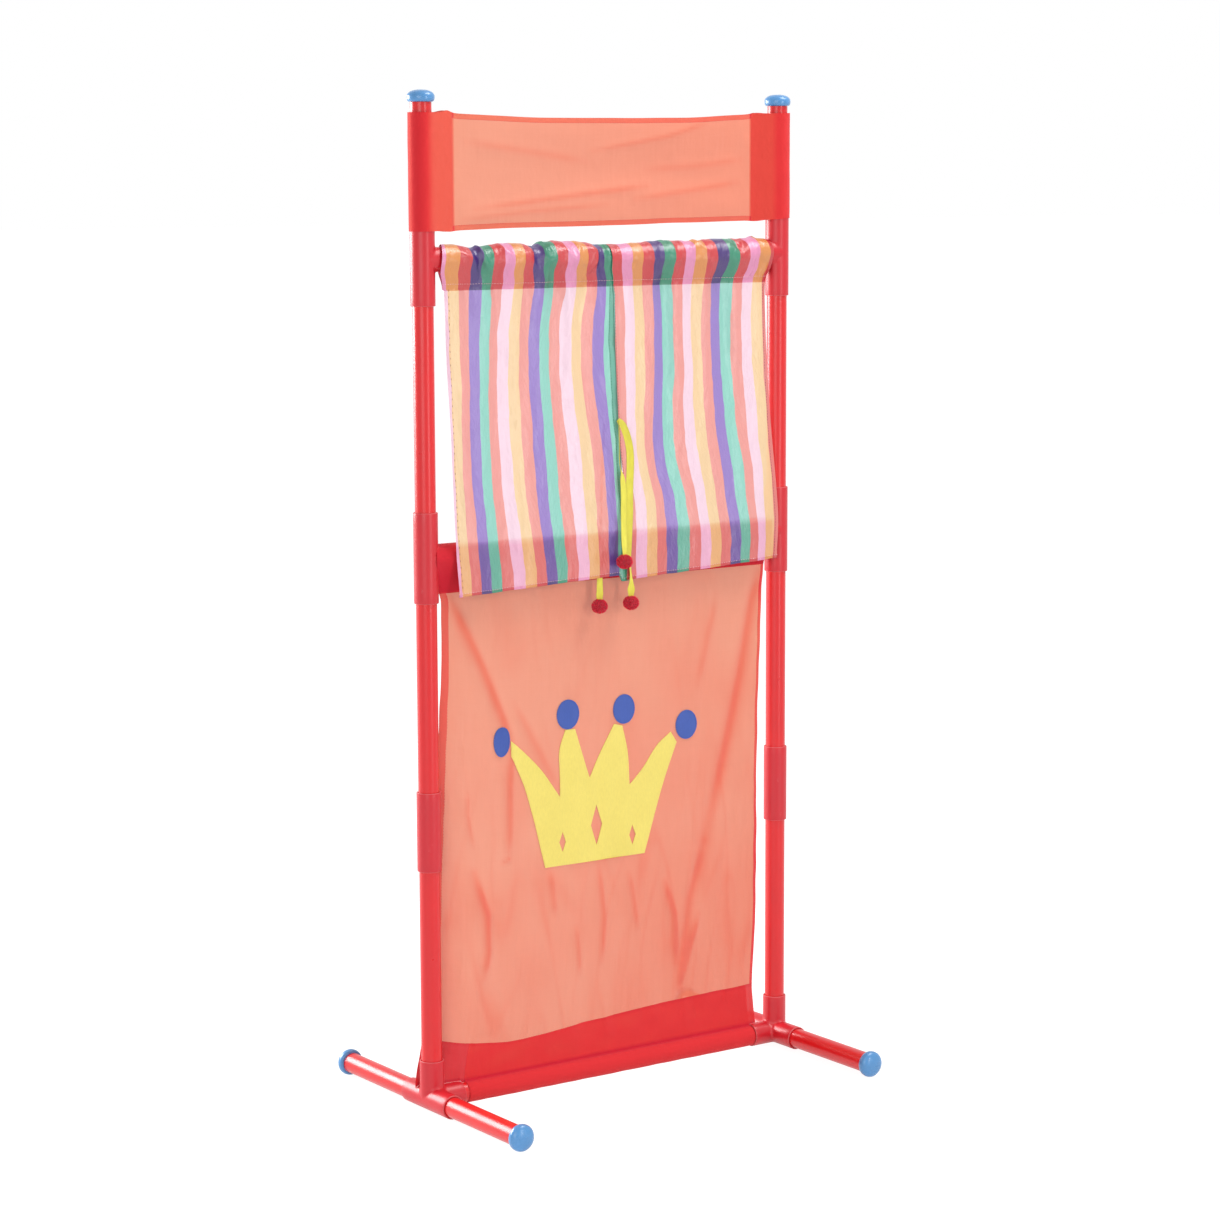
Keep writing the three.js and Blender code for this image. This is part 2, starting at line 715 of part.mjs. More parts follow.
function feltSheet() {
  const margin = crownBallWidth;
  const low = crownBase - margin / 2;
  const high = crownBase + crownHeight + crownBallHeight;
  const half = crownWidth / 2 + margin * 1.4;
  const columns = 18;
  const rows = 7;
  const standOff = clothThickness / 2 + feltGap + feltThickness / 2;
  return sheet(columns, rows, (across, along) => {
    const x = crownCentre + half * (2 * across - 1);
    const height = high + (low - high) * along;
    return new THREE.Vector3(x, panelDepth(x, height) - standOff, height);
  }, feltThickness);
}

function prism(shape) {
  const depth = 4 * flapDepth;
  const geometry = new THREE.ExtrudeGeometry(shape, { depth, bevelEnabled: false });
  return solidOf(geometry.rotateX(Math.PI / 2).translate(0, depth / 2, 0));
}

const felt = solidOf(feltSheet());
const crownShape = new THREE.Shape(crownOutlineShares.map(crownPoint));
for (const { centre, half } of crownDiamondShares) {
  const tips = [[0, 1], [1, 0], [0, -1], [-1, 0]].map(([a, b]) =>
    crownPoint([centre[0] + a * half[0], centre[1] + b * half[1]]));
  crownShape.holes.push(new THREE.Path(tips));
}
const ballSides = 18;
const ballCuts = crownBallShares.map((place) => {
  const { x, y } = crownPoint(place);
  const oval = new THREE.Shape();
  oval.absellipse(x, y, crownBallWidth / 2, crownBallHeight / 2, 0, 2 * Math.PI);
  return new THREE.Shape(oval.getSpacedPoints(ballSides).slice(0, -1));
});
const ballMargin = touchGap / crownBallWidth;
let crownCut = prism(crownShape);
for (const cut of ballCuts) {
  const centre = new THREE.Box2().setFromPoints(cut.getPoints()).getCenter(new THREE.Vector2());
  const grown = cut.getPoints().map((point) =>
    point.clone().sub(centre).multiplyScalar(1 + 4 * ballMargin).add(centre));
  crownCut = crownCut.subtract(prism(new THREE.Shape(grown)));
}
addPart('crown', geometryOf(felt.intersect(crownCut)), finish.crown);
ballCuts.forEach((cut, i) => {
  addPart(`crown_ball_${i + 1}`, geometryOf(felt.intersect(prism(cut))), finish.ball);
});

// Ties: each ribbon hangs from where it is sewn, and ends in a pompom. Routes are measured from
// the middle of the crossbar's axis
const ties = {
  right_short: [
    [1.5, -14.3, 152], [0.5, -16.6, 126], [0.9, -19.4, 96], [2.6, -23, 66],
    [3.4, -28, 26], [4.4, -33.8, -9.6],
  ],
  right_long: [
    [4, -12.9, 152], [9.4, -14.2, 134], [12.2, -16.1, 106], [12.8, -18.1, 76],
    [13.6, -21.7, 26], [14.6, -23, -14], [15.4, -23.2, -49], [15.6, -23.2, -62.3],
  ],
  left: [
    [-10, -9.2, 148], [-15, -12, 96], [-22.4, -17, 20], [-24.4, -17.5, -14],
    [-24.8, -17.5, -44], [-24.8, -17.5, -63.8],
  ],
};
const ribbonRows = 12;

for (const [name, route] of Object.entries(ties)) {
  const points = route.map(([x, y, rise]) => new THREE.Vector3(x, y, barHeight + rise));
  const curve = new THREE.CatmullRomCurve3(points);
  const ribbon = sheet(1, ribbonRows, (across, along) => {
    const point = curve.getPoint(Math.min(Math.max(along, 0), 1));
    const spill = along - Math.min(Math.max(along, 0), 1);
    point.z -= spill * standHeight;
    point.x += (across - 0.5) * ribbonWidth;
    return point;
  }, ribbonThickness);
  addPart(`${name}_tie_ribbon`, closed(ribbon), finish.ribbon);
  const centre = points[points.length - 1].clone();
  centre.z -= touchGap + pompomDiameter / 2;
  const ball = new THREE.IcosahedronGeometry(pompomDiameter / 2, pompomDetail);
  addPart(`${name}_tie_pompom`, closed(ball.translate(...centre)), finish.pompom);
}

export default stand;
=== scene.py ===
import math

import bmesh
import bpy
from bpy.props import FloatProperty, FloatVectorProperty, IntProperty, PointerProperty
from mathutils import Matrix, Vector, geometry, noise


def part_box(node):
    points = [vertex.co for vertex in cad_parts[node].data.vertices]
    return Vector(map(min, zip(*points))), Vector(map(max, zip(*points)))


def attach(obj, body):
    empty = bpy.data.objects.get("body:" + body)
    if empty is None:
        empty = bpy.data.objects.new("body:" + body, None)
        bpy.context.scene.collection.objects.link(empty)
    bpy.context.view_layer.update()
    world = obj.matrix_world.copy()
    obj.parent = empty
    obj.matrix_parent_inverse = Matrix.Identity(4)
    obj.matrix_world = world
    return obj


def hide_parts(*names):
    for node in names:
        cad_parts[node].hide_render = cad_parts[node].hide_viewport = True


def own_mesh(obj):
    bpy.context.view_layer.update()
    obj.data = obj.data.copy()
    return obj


bl_info = {
    "name": "Puppet Theater Stand",
    "version": (1, 0, 0),
    "blender": (4, 5, 0),
    "location": "3D View > Sidebar > Puppet Stand",
    "description": "Dresses the frame of a puppet theater stand in cloth, plastic and trim",
    "category": "Add Mesh",
}

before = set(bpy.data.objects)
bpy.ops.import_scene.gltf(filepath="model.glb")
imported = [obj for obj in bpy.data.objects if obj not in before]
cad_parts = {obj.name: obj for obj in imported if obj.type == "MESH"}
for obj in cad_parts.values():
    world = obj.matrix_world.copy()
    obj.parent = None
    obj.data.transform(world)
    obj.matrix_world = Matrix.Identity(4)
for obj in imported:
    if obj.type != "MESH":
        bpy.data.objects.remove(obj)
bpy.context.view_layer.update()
MM = 0.001


def centre(node):
    low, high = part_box(node)
    return (low + high) / 2 / MM


# Places of the frame in millimetres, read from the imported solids
POST_X = centre("right_top_post_tube").x
ROD_Z = centre("curtain_rod").z
BAR_Z = centre("middle_crossbar").z
FOOT_Z = centre("bottom_crossbar").z
COUPLER_Z = centre("right_post_coupler").z
STAND_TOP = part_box("right_top_cap")[1].z / MM
SIDES = {"left": -1, "right": 1}

# Sizes of the frame in millimetres, as the solids have them
TUBE_RADIUS = 12.5
BORE_RADIUS = 10.5
SOCKET_RADIUS = 12.8
FITTING_RADIUS = 14.7
SEAT_DISTANCE = 15.8
STOP_LIP = 3.0
COUPLER_REACH = 48.0
TEE_REACH = 54.0
SIDE_REACH = 40.0
BASE_REACH = 48.0
CAP_RADIUS = 16.35
CAP_HEIGHT = 14.0
SLEEVE_RADIUS = 15.15
CLOTH = 1.2


# Small tools for shapes


def clamp(value, low=0.0, high=1.0):
    return min(max(value, low), high)


def ease(share):
    held = clamp(share)
    return held * held * (3 - 2 * held)


def mix(start, end, share):
    return start + (end - start) * share


def even(count):
    return [i / count for i in range(count + 1)]


def hermite(start, end, leave, arrive, t):
    return (start * (2 * t**3 - 3 * t**2 + 1) + leave * (t**3 - 2 * t**2 + t)
            + end * (3 * t**2 - 2 * t**3) + arrive * (t**3 - t**2))


def through(table, place):
    """A smooth curve through a table of (place, value) pairs"""
    if place <= table[0][0]:
        return table[0][1]
    for i in range(len(table) - 1):
        (start, low), (end, high) = table[i], table[i + 1]
        if place <= end:
            before, after = table[max(i - 1, 0)], table[min(i + 2, len(table) - 1)]
            span = end - start
            leave = span * (high - before[1]) / (end - before[0])
            arrive = span * (after[1] - low) / (after[0] - start)
            return hermite(low, high, leave, arrive, (place - start) / span)
    return table[-1][1]


def hill(off, width):
    return math.exp(-((off / width) ** 2))


def rumple(x, z, x_size, z_size, seed):
    return noise.noise(Vector((x / x_size, z / z_size, seed)))


def from_hex(text):
    """The scene linear colour of a written one"""
    parts = [int(text[i:i + 2], 16) / 255 for i in (0, 2, 4)]
    return tuple(p / 12.92 if p <= 0.04045 else ((p + 0.055) / 1.055) ** 2.4 for p in parts)


# Sizes and colours that a user may change


def length(name, description, value):
    return FloatProperty(name=name, description=description, default=value * MM, min=0,
                         precision=5, subtype="DISTANCE", unit="LENGTH")


def paint(name, description, value):
    return FloatVectorProperty(name=name, description=description, default=from_hex(value),
                               size=3, min=0, max=1, subtype="COLOR")


class StandFrameSizes(bpy.types.PropertyGroup):
    """Sizes of the tubes, fittings and caps"""
    tube_radius: length("Tube radius", "Outer radius of the tubes", TUBE_RADIUS)
    tube_wall: length("Tube wall", "Wall thickness of the tubes", TUBE_RADIUS - BORE_RADIUS)
    fillet: length("Fitting fillet", "Width of the soft edge where two sockets cross", 3.6)
    mouth_round: length("Socket rim", "Radius of the rounded rim of a socket", 0.8)
    cap_overhang: length("Cap corner", "Radius of the cap's lower corner", 2.6)
    round_steps: IntProperty(name="Round steps", description="Facets round a tube or fitting",
                             default=64, min=16, max=128)


class StandClothSizes(bpy.types.PropertyGroup):
    """Sizes of the banner, curtains and front panel"""
    stripe: length("Stripe width", "Width of one stripe of the satin", 15)
    weave: length("Weave pitch", "Distance from one thread to the next", 0.7)
    cell: length("Mesh cell", "Distance between the points of a cloth's mesh", 3.6)
    banner_hem: length("Banner hem", "Height of the banner's folded edges", 6.5)
    side_hem: length("Curtain side hem", "Width of a curtain's outer hem", 6)
    leading_hem: length("Leading hem", "Width of the hem beside the slit", 9)
    low_hem: length("Curtain low hem", "Height of a curtain's rolled bottom hem", 4.2)
    panel_hem: length("Panel side hem", "Width of the front panel's right hem", 4.5)
    panel_left_hem: length("Panel left hem", "Width of the front panel's left hem", 10.4)
    ruffle: length("Ruffle depth", "Depth of the gathers under a curtain's tunnel", 2.4)
    crease: length("Panel crease depth", "Depth of the deepest soft crease of the panel", 4.2)


class StandTrimSizes(bpy.types.PropertyGroup):
    """Sizes of the ribbons, pompoms, felt and stitches"""
    ribbon_width: length("Ribbon width", "Width of the ribbon ties", 9)
    ribbon_thickness: length("Ribbon thickness", "Thickness of the ribbon ties", 0.5)
    pompom_radius: length("Pompom radius", "Outer radius of a pompom", 10.8)
    pompom_squash: FloatProperty(name="Pompom squash", default=0.9, min=0.5, max=1,
                                 description="Height of a pompom by its width")
    yarn_length: length("Yarn length", "Length of a pompom's loose yarn ends", 2.6)
    yarn_width: length("Yarn width", "Width of one yarn end at its root", 0.95)
    yarn_gap: length("Yarn spacing", "Least distance between the roots of two yarn ends", 0.75)
    felt: length("Felt thickness", "Thickness of the crown's felt", 0.8)
    stitch_pitch: length("Stitch pitch", "Distance from one stitch to the next", 3.6)
    stitch_length: length("Stitch length", "Length of one stitch", 2.7)
    thread: length("Thread width", "Width of the sewing thread", 0.5)


class StandColours(bpy.types.PropertyGroup):
    """Colours of every finish"""
    tube: paint("Tube", "Coated tubes", "de171d")
    fitting: paint("Fitting", "Moulded fittings", "cf1c2a")
    cap: paint("Cap", "Domed end caps", "5292cc")
    # The fold, doubled and deep coral tones also carry painted shade: in creases, in tunnels, under
    # the bars and where the posts lie behind
    coral: paint("Coral cloth", "One layer of the coral cloth", "ef9475")
    coral_fold: paint("Coral cloth, folded", "Creases, hems and loose sleeves", "ec6d4e")
    coral_double: paint("Coral cloth, doubled", "The bottom band and tight sleeves", "e83235")
    coral_deep: paint("Coral cloth, deep", "Where more layers lie together", "d0152e")
    pink: paint("Pink stripe", "One layer of the pink stripe", "f3cfdf")
    apricot: paint("Apricot stripe", "One layer of the apricot stripe", "f0ca94")
    red: paint("Coral stripe", "One layer of the coral stripe", "ea8f86")
    purple: paint("Purple stripe", "One layer of the purple stripe", "8a69c0")
    green: paint("Green stripe", "One layer of the green stripe", "80ccbb")
    pink_double: paint("Pink stripe, doubled", "Pink where the satin is double", "e58fb8")
    apricot_double: paint("Apricot stripe, doubled", "Apricot where the satin is double", "de8e48")
    red_double: paint("Coral stripe, doubled", "Coral where the satin is double", "cc3338")
    purple_double: paint("Purple stripe, doubled", "Purple where the satin is double", "3c1a70")
    green_double: paint("Green stripe, doubled", "Green where the satin is double", "2a8a6a")
    crown: paint("Crown", "Yellow felt", "f1df74")
    ball: paint("Crown ball", "Blue felt", "4a63b2")
    ribbon: paint("Ribbon", "Ribbon ties", "ebe14c")
    yarn: paint("Yarn", "Pompoms", "e01c3c")
    pale_thread: paint("Pale thread", "Stitches of the curtains' seams", "f0c4c8")
    dark_thread: paint("Dark thread", "Stitches of the curtains' side hems", "8c4a5c")
    coral_thread: paint("Coral thread", "Stitches of the coral cloth", "d8403c")
    crown_thread: paint("Crown thread", "Stitches round the crown", "f4d488")
    ball_thread: paint("Ball thread", "Stitches round the crown's balls", "3b52a4")


def sizes_of(group):
    return getattr(bpy.context.scene, f"stand_{group}")


# Node trees


def feed(tree, node, inputs):
    """Gives a node its inputs. Each is a value, or a socket that it is joined to"""
    for key, value in inputs.items():
        if isinstance(value, bpy.types.NodeSocket):
            tree.links.new(value, node.inputs[key])
        else:
            node.inputs[key].default_value = value


def add_node(tree, kind, inputs=None, **settings):
    node = tree.nodes.new(kind)
    for name, value in settings.items():
        setattr(node, name, value)
    feed(tree, node, inputs or {})
    return node


def maths(tree, operation, first, second=0.0, clamped=False):
    return add_node(tree, "ShaderNodeMath", {0: first, 1: second}, operation=operation,
                    use_clamp=clamped).outputs[0]


# Sockets of a colour mix: its share, its two colours and its result
MIX_SHARE, MIX_FIRST, MIX_SECOND, MIX_RESULT = 0, 6, 7, 2


def blend_colour(tree, share, first, second, blend_type="MIX"):
    """A mix of two colours. Each is a socket, or its red, green and blue"""
    first, second = (tone if isinstance(tone, bpy.types.NodeSocket) else (*tone[:3], 1)
                     for tone in (first, second))
    inputs = {MIX_SHARE: share, MIX_FIRST: first, MIX_SECOND: second}
    mixer = add_node(tree, "ShaderNodeMix", inputs, data_type="RGBA", blend_type=blend_type)
    return mixer.outputs[MIX_RESULT]


def new_material(name):
    material = bpy.data.materials.new(name)
    material.use_nodes = True
    tree = material.node_tree
    return material, tree, tree.nodes["Principled BSDF"]


def object_place(tree):
    return add_node(tree, "ShaderNodeTexCoord").outputs["Object"]


def cloth_place(tree):
    """The place on the flat cloth, whole and as its two parts"""
    uv = add_node(tree, "ShaderNodeUVMap", uv_map="Cloth").outputs[0]
    parts = add_node(tree, "ShaderNodeSeparateXYZ", {0: uv})
    return uv, parts.outputs[0], parts.outputs[1]


def measured(tree, name):
    """The value of a mesh attribute"""
    return add_node(tree, "ShaderNodeAttribute", attribute_name=name).outputs["Fac"]


def noise_value(tree, place, scale, detail=2.0, roughness=0.5):
    """Noise at a place, which a scale of three numbers stretches"""
    if isinstance(scale, tuple):
        mapping = add_node(tree, "ShaderNodeMapping", {"Vector": place, "Scale": scale})
        place, scale = mapping.outputs[0], 1.0
    return add_node(tree, "ShaderNodeTexNoise", {
        "Vector": place, "Scale": scale, "Detail": detail, "Roughness": roughness,
    }).outputs["Fac"]


def spread(tree, value, from_low, from_high, to_low=0.0, to_high=1.0):
    return add_node(tree, "ShaderNodeMapRange", {
        "Value": value, "From Min": from_low, "From Max": from_high,
        "To Min": to_low, "To Max": to_high,
    }).outputs["Result"]


def bumped(tree, height, distance, strength=1.0, under=None):
    inputs = {"Height": height, "Distance": distance, "Strength": strength}
    if under is not None:
        inputs["Normal"] = under
    return add_node(tree, "ShaderNodeBump", inputs).outputs["Normal"]


def shaded(colour, amount):
    return tuple(clamp(part * amount) for part in colour)


def woven_height(tree, across, along, pitch):
    """Height of a plain weave: threads over and under in both directions"""
    warp, weft = (maths(tree, "SINE", maths(tree, "MULTIPLY", place, 2 * math.pi / pitch))
                  for place in (across, along))
    return maths(tree, "MULTIPLY", warp, weft)


def colour_ramp(tree, share, colours, stops, interpolation):
    ramp = add_node(tree, "ShaderNodeValToRGB", {0: share})
    ramp.color_ramp.interpolation = interpolation
    marks = ramp.color_ramp.elements
    while len(marks) < len(colours):
        marks.new(0.5)
    for mark, colour, stop in zip(marks, colours, stops):
        mark.position = stop
        mark.color = (*colour, 1)
    return ramp.outputs[0]


def stripe_ramp(tree, share, colours):
    return colour_ramp(tree, share, colours, even(len(colours)), "CONSTANT")


# Finishes

# Layers and painted shade of the coral cloth that together give its deepest tone
DEEPEST_LAYERS = 1.5
# How far the satin's stripes wander to each side, and a ribbon's rib pitch, in metres
STRIPE_DRIFT = 0.0012
RIB_PITCH = 0.0009
# Shares of a ribbon's width between which its woven edge begins
RIBBON_EDGE = (0.42, 0.45)
# Colour, roughness and coat of each plastic
PLASTICS = {"red_tube": ("tube", 0.3, 0.12), "red_fitting": ("fitting", 0.37, 0.08),
            "blue_cap": ("cap", 0.26, 0.3)}
COAT_ROUGHNESS = 0.25
# Tones of the coral cloth from one layer to the deepest, which also serve for painted shade, and
# stripes in their order on the satin
CORAL_TONES = ("coral", "coral_fold", "coral_double", "coral_deep")
STRIPES = ("pink", "apricot", "red", "purple", "green", "red")


def moulded_plastic(name, colour, roughness, coat):
    """Glossy plastic with faint clouds of tone and rubbed rims"""
    material, tree, skin = new_material(name)
    place = object_place(tree)
    cloud = noise_value(tree, place, 22.0, 3.0)
    rub = spread(tree, noise_value(tree, place, (90, 90, 35), 5.0, 0.7), 0.66, 0.8, 0.0, 0.35)
    rim = maths(tree, "MULTIPLY", measured(tree, "rim"), 0.5)
    worn = maths(tree, "ADD", rub, rim, clamped=True)
    tone = blend_colour(tree, cloud, shaded(colour, 0.93), shaded(colour, 1.06))
    pale = tuple(mix(part, 1.0, 0.35) for part in colour)
    smooth = spread(tree, cloud, 0.3, 0.7, roughness - 0.03, roughness + 0.05)
    feed(tree, skin, {
        "Base Color": blend_colour(tree, maths(tree, "MULTIPLY", worn, 0.45), tone, pale),
        "Roughness": maths(tree, "ADD", smooth, maths(tree, "MULTIPLY", worn, 0.25)),
        "Coat Weight": coat, "Coat Roughness": COAT_ROUGHNESS,
    })
    return material


def coral_voile(name, tones, pitch):
    """Thin woven cloth that shows what is behind it, with slubs along its threads. Its tone
    deepens with its layers and with the painted shade that its creases attribute holds."""
    material, tree, skin = new_material(name)
    uv, across, along = cloth_place(tree)
    slub = noise_value(tree, uv, (900, 14, 1), 4.0, 0.65)
    cross = noise_value(tree, uv, (16, 700, 1), 3.0, 0.6)
    threads = maths(tree, "ADD", maths(tree, "MULTIPLY", slub, 0.6),
                    maths(tree, "MULTIPLY", cross, 0.4))
    # creases holds painted shade (in creases, in tunnels, under the bars, where posts lie behind)
    # and some tone of the cloth's own
    gathered = maths(tree, "ADD", measured(tree, "layers"), measured(tree, "creases"))
    layers_and_shade = maths(tree, "MULTIPLY", gathered, 1 / DEEPEST_LAYERS, clamped=True)
    body = colour_ramp(tree, layers_and_shade, tones, (0.0, 0.333, 0.667, 1.0), "LINEAR")
    thin = spread(tree, threads, 0.3, 0.7, 0.92, 0.96)
    crumple = bumped(tree, noise_value(tree, uv, (70, 34, 1), 4.0, 0.55), 0.0016, 0.55)
    weave = woven_height(tree, across, along, pitch)
    feed(tree, skin, {
        "Base Color": blend_colour(tree, spread(tree, threads, 0.35, 0.65), body,
                                   (0.95, 0.92, 0.9), "MULTIPLY"),
        "Alpha": maths(tree, "ADD", thin, maths(tree, "MULTIPLY", layers_and_shade, 0.05), clamped=True),
        "Roughness": 0.85, "Specular IOR Level": 0.25,
        "Sheen Weight": 0.15, "Sheen Roughness": 0.5,
        "Normal": bumped(tree, weave, 0.00008, 0.5, crumple),
    })
    return material


def striped_satin(name, single, double, stripe, pitch):
    """Thin striped satin: pale where one layer shows, deep where it is double and where shade is
    painted
    """
    material, tree, skin = new_material(name)
    uv, across, along = cloth_place(tree)
    drift = spread(tree, noise_value(tree, uv, (9, 22, 1)), 0.3, 0.7, -STRIPE_DRIFT, STRIPE_DRIFT)
    moved = maths(tree, "ADD", across, drift)
    repeat = maths(tree, "FRACT", maths(tree, "DIVIDE", moved, stripe * len(single)))
    # creases holds painted shade where the crossbar lies behind the curtains
    layers_and_shade = maths(tree, "ADD", measured(tree, "layers"), measured(tree, "creases"), clamped=True)
    body = blend_colour(tree, layers_and_shade, stripe_ramp(tree, repeat, single),
                        stripe_ramp(tree, repeat, double))
    threads = noise_value(tree, uv, (1600, 30, 1), 3.0, 0.6)
    crumple = bumped(tree, noise_value(tree, uv, (75, 38, 1), 4.0, 0.5), 0.0036, 0.9)
    weave = woven_height(tree, across, along, pitch)
    feed(tree, skin, {
        "Base Color": blend_colour(tree, spread(tree, threads, 0.3, 0.7), body,
                                   (0.93, 0.92, 0.93), "MULTIPLY"),
        "Alpha": spread(tree, layers_and_shade, 0.0, 1.0, 0.93, 0.99),
        "Roughness": spread(tree, threads, 0.3, 0.7, 0.26, 0.36),
        "Specular IOR Level": 0.9,
        "Normal": bumped(tree, weave, 0.00005, 0.35, crumple),
    })
    return material


def brushed_felt(name, colour):
    """Soft felt: short fibres in all directions and slight clouds of tone"""
    material, tree, skin = new_material(name)
    place = object_place(tree)
    cloud = noise_value(tree, place, 30.0, 3.0)
    fibre = noise_value(tree, place, 1500.0, 4.0, 0.7)
    lint = noise_value(tree, place, (500, 500, 160), 3.0, 0.7)
    tone = blend_colour(tree, spread(tree, lint, 0.35, 0.65),
                        shaded(colour, 0.97), shaded(colour, 1.03))
    feed(tree, skin, {
        "Base Color": blend_colour(tree, spread(tree, cloud, 0.3, 0.7), tone,
                                   (0.97, 0.965, 0.95), "MULTIPLY"),
        "Roughness": 0.95, "Specular IOR Level": 0.15, "Sheen Weight": 0.3,
        "Normal": bumped(tree, maths(tree, "ADD", fibre, lint), 0.00015, 0.5),
    })
    return material


def ribbed_ribbon(name, colour, width):
    """Ribbon with fine ribs across it and a woven edge on each side"""
    material, tree, skin = new_material(name)
    uv, across, along = cloth_place(tree)
    ribs = maths(tree, "SINE", maths(tree, "MULTIPLY", along, 2 * math.pi / RIB_PITCH))
    off = maths(tree, "ABSOLUTE", maths(tree, "SUBTRACT", across, width / 2))
    edge = spread(tree, off, *(width * share for share in RIBBON_EDGE))
    clouds = spread(tree, noise_value(tree, uv, (200, 60, 1), 3.0), 0.3, 0.7)
    tone = blend_colour(tree, clouds, shaded(colour, 0.88), shaded(colour, 1.05))
    feed(tree, skin, {
        "Base Color": blend_colour(tree, edge, tone, shaded(colour, 0.8)),
        "Roughness": 0.5, "Sheen Weight": 0.2,
        "Normal": bumped(tree, ribs, 0.00008, 0.6),
    })
    return material


def wool_yarn(name, colour):
    """Yarn whose ends differ a little in tone, with a fuzzy surface"""
    material, tree, skin = new_material(name)
    fuzz = noise_value(tree, object_place(tree), 2400.0, 3.0, 0.7)
    tone = blend_colour(tree, measured(tree, "tint"), shaded(colour, 0.8), shaded(colour, 1.35))
    feed(tree, skin, {
        "Base Color": blend_colour(tree, fuzz, tone, (0.9, 0.85, 0.85), "MULTIPLY"),
        "Roughness": 0.95, "Sheen Weight": 0.25,
        "Normal": bumped(tree, fuzz, 0.0002, 0.6),
    })
    return material


def sewing_thread(name, colour):
    """Twisted thread"""
    material, tree, skin = new_material(name)
    twist = noise_value(tree, object_place(tree), 1800.0)
    feed(tree, skin, {
        "Base Color": blend_colour(tree, twist, shaded(colour, 0.8), shaded(colour, 1.1)),
        "Roughness": 0.6,
        "Normal": bumped(tree, twist, 0.0001, 0.5),
    })
    return material


def finish_named(name):
    """The material of that name, made when it is first asked for"""
    known = bpy.data.materials.get(name)
    if known is not None:
        return known
    colours, cloth, trim = (sizes_of(group) for group in ("colours", "cloth", "trim"))

    def tone(key):
        return tuple(getattr(colours, key))

    if name in PLASTICS:
        key, roughness, coat = PLASTICS[name]
        return moulded_plastic(name, tone(key), roughness, coat)
    if name == "coral_voile":
        return coral_voile(name, [tone(key) for key in CORAL_TONES], cloth.weave)
    if name == "stripe_satin":
        return striped_satin(name, [tone(key) for key in STRIPES],
                             [tone(f"{key}_double") for key in STRIPES], cloth.stripe, cloth.weave)
    if name == "ribbed_ribbon":
        return ribbed_ribbon(name, tone("ribbon"), trim.ribbon_width)
    if name == "wool_yarn":
        return wool_yarn(name, tone("yarn"))
    if name.endswith("_felt"):
        return brushed_felt(name, tone(name.removesuffix("_felt")))
    return sewing_thread(name, tone(name))


# Meshes


def placed(name, data):
    """An object in the scene that holds a mesh, a light or a camera"""
    thing = bpy.data.objects.new(name, data)
    bpy.context.scene.collection.objects.link(thing)
    return thing


def mesh_object(name, points, faces, edges=()):
    """A piece from points in millimetres"""
    mesh = bpy.data.meshes.new(name)
    mesh.from_pydata([Vector(point) * MM for point in points], edges, faces)
    mesh.shade_smooth()
    return placed(name, mesh)


def edged(piece, degrees=35):
    """Keeps the edges of a smooth piece sharp that turn by more than an angle"""
    piece.data.set_sharp_from_angle(angle=math.radians(degrees))
    return piece


def store(mesh, name, domain, values):
    mesh.attributes.new(name, "FLOAT", domain).data.foreach_set("value", values)


def lay_flat(mesh, places):
    """Gives a mesh its UVs: the place of each point on the flat cloth, in metres"""
    uv = mesh.uv_layers.new(name="Cloth")
    for loop in mesh.loops:
        uv.data[loop.index].uv = places[loop.vertex_index]


def reworked(mesh, *jobs):
    """Does jobs on the faces and points of a mesh, one after another"""
    shell = bmesh.new()
    shell.from_mesh(mesh)
    for job in jobs:
        job(shell)
    shell.to_mesh(mesh)
    shell.free()


def turn_outwards(shell):
    """Turns the faces of a closed mesh outwards"""
    if shell.calc_volume(signed=True) < 0:
        bmesh.ops.reverse_faces(shell, faces=shell.faces)


def merge_doubles(shell):
    bmesh.ops.remove_doubles(shell, verts=shell.verts, dist=2e-6)


def drop_slivers(shell):
    bmesh.ops.dissolve_degenerate(shell, edges=shell.edges, dist=1e-7)


def face_alike(shell):
    """Drops loose points and turns all faces outwards"""
    bmesh.ops.delete(shell, geom=[v for v in shell.verts if not v.link_faces], context="VERTS")
    bmesh.ops.recalc_face_normals(shell, faces=shell.faces)


def settle(piece, body, slot, finish, *nodes):
    """Gives a piece its finish and its body, and hides the nodes that it stands for"""
    if finish is not None:
        piece.data.materials.clear()
        piece.data.materials.append(finish_named(finish))
    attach(piece, body)
    if nodes:
        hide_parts(*nodes)
    return piece


def new_growth(name, inputs):
    """A Geometry Nodes tree with the named inputs, and the sockets of its group input"""
    tree = bpy.data.node_groups.new(name, "GeometryNodeTree")
    tree.interface.new_socket("Geometry", in_out="INPUT", socket_type="NodeSocketGeometry")
    for label, kind in inputs.items():
        tree.interface.new_socket(label, in_out="INPUT", socket_type=f"NodeSocket{kind}")
    tree.interface.new_socket("Geometry", in_out="OUTPUT", socket_type="NodeSocketGeometry")
    return tree, tree.nodes.new("NodeGroupInput").outputs


def end_growth(tree, entry, shape):
    """Ends a tree in real faces of its material"""
    real = add_node(tree, "GeometryNodeRealizeInstances", {"Geometry": shape})
    smooth = add_node(tree, "GeometryNodeSetShadeSmooth", {"Geometry": real.outputs[0]})
    painted = add_node(tree, "GeometryNodeSetMaterial", {
        "Geometry": smooth.outputs[0], "Material": entry["Material"],
    })
    add_node(tree, "NodeGroupOutput", {"Geometry": painted.outputs[0]})
    return tree


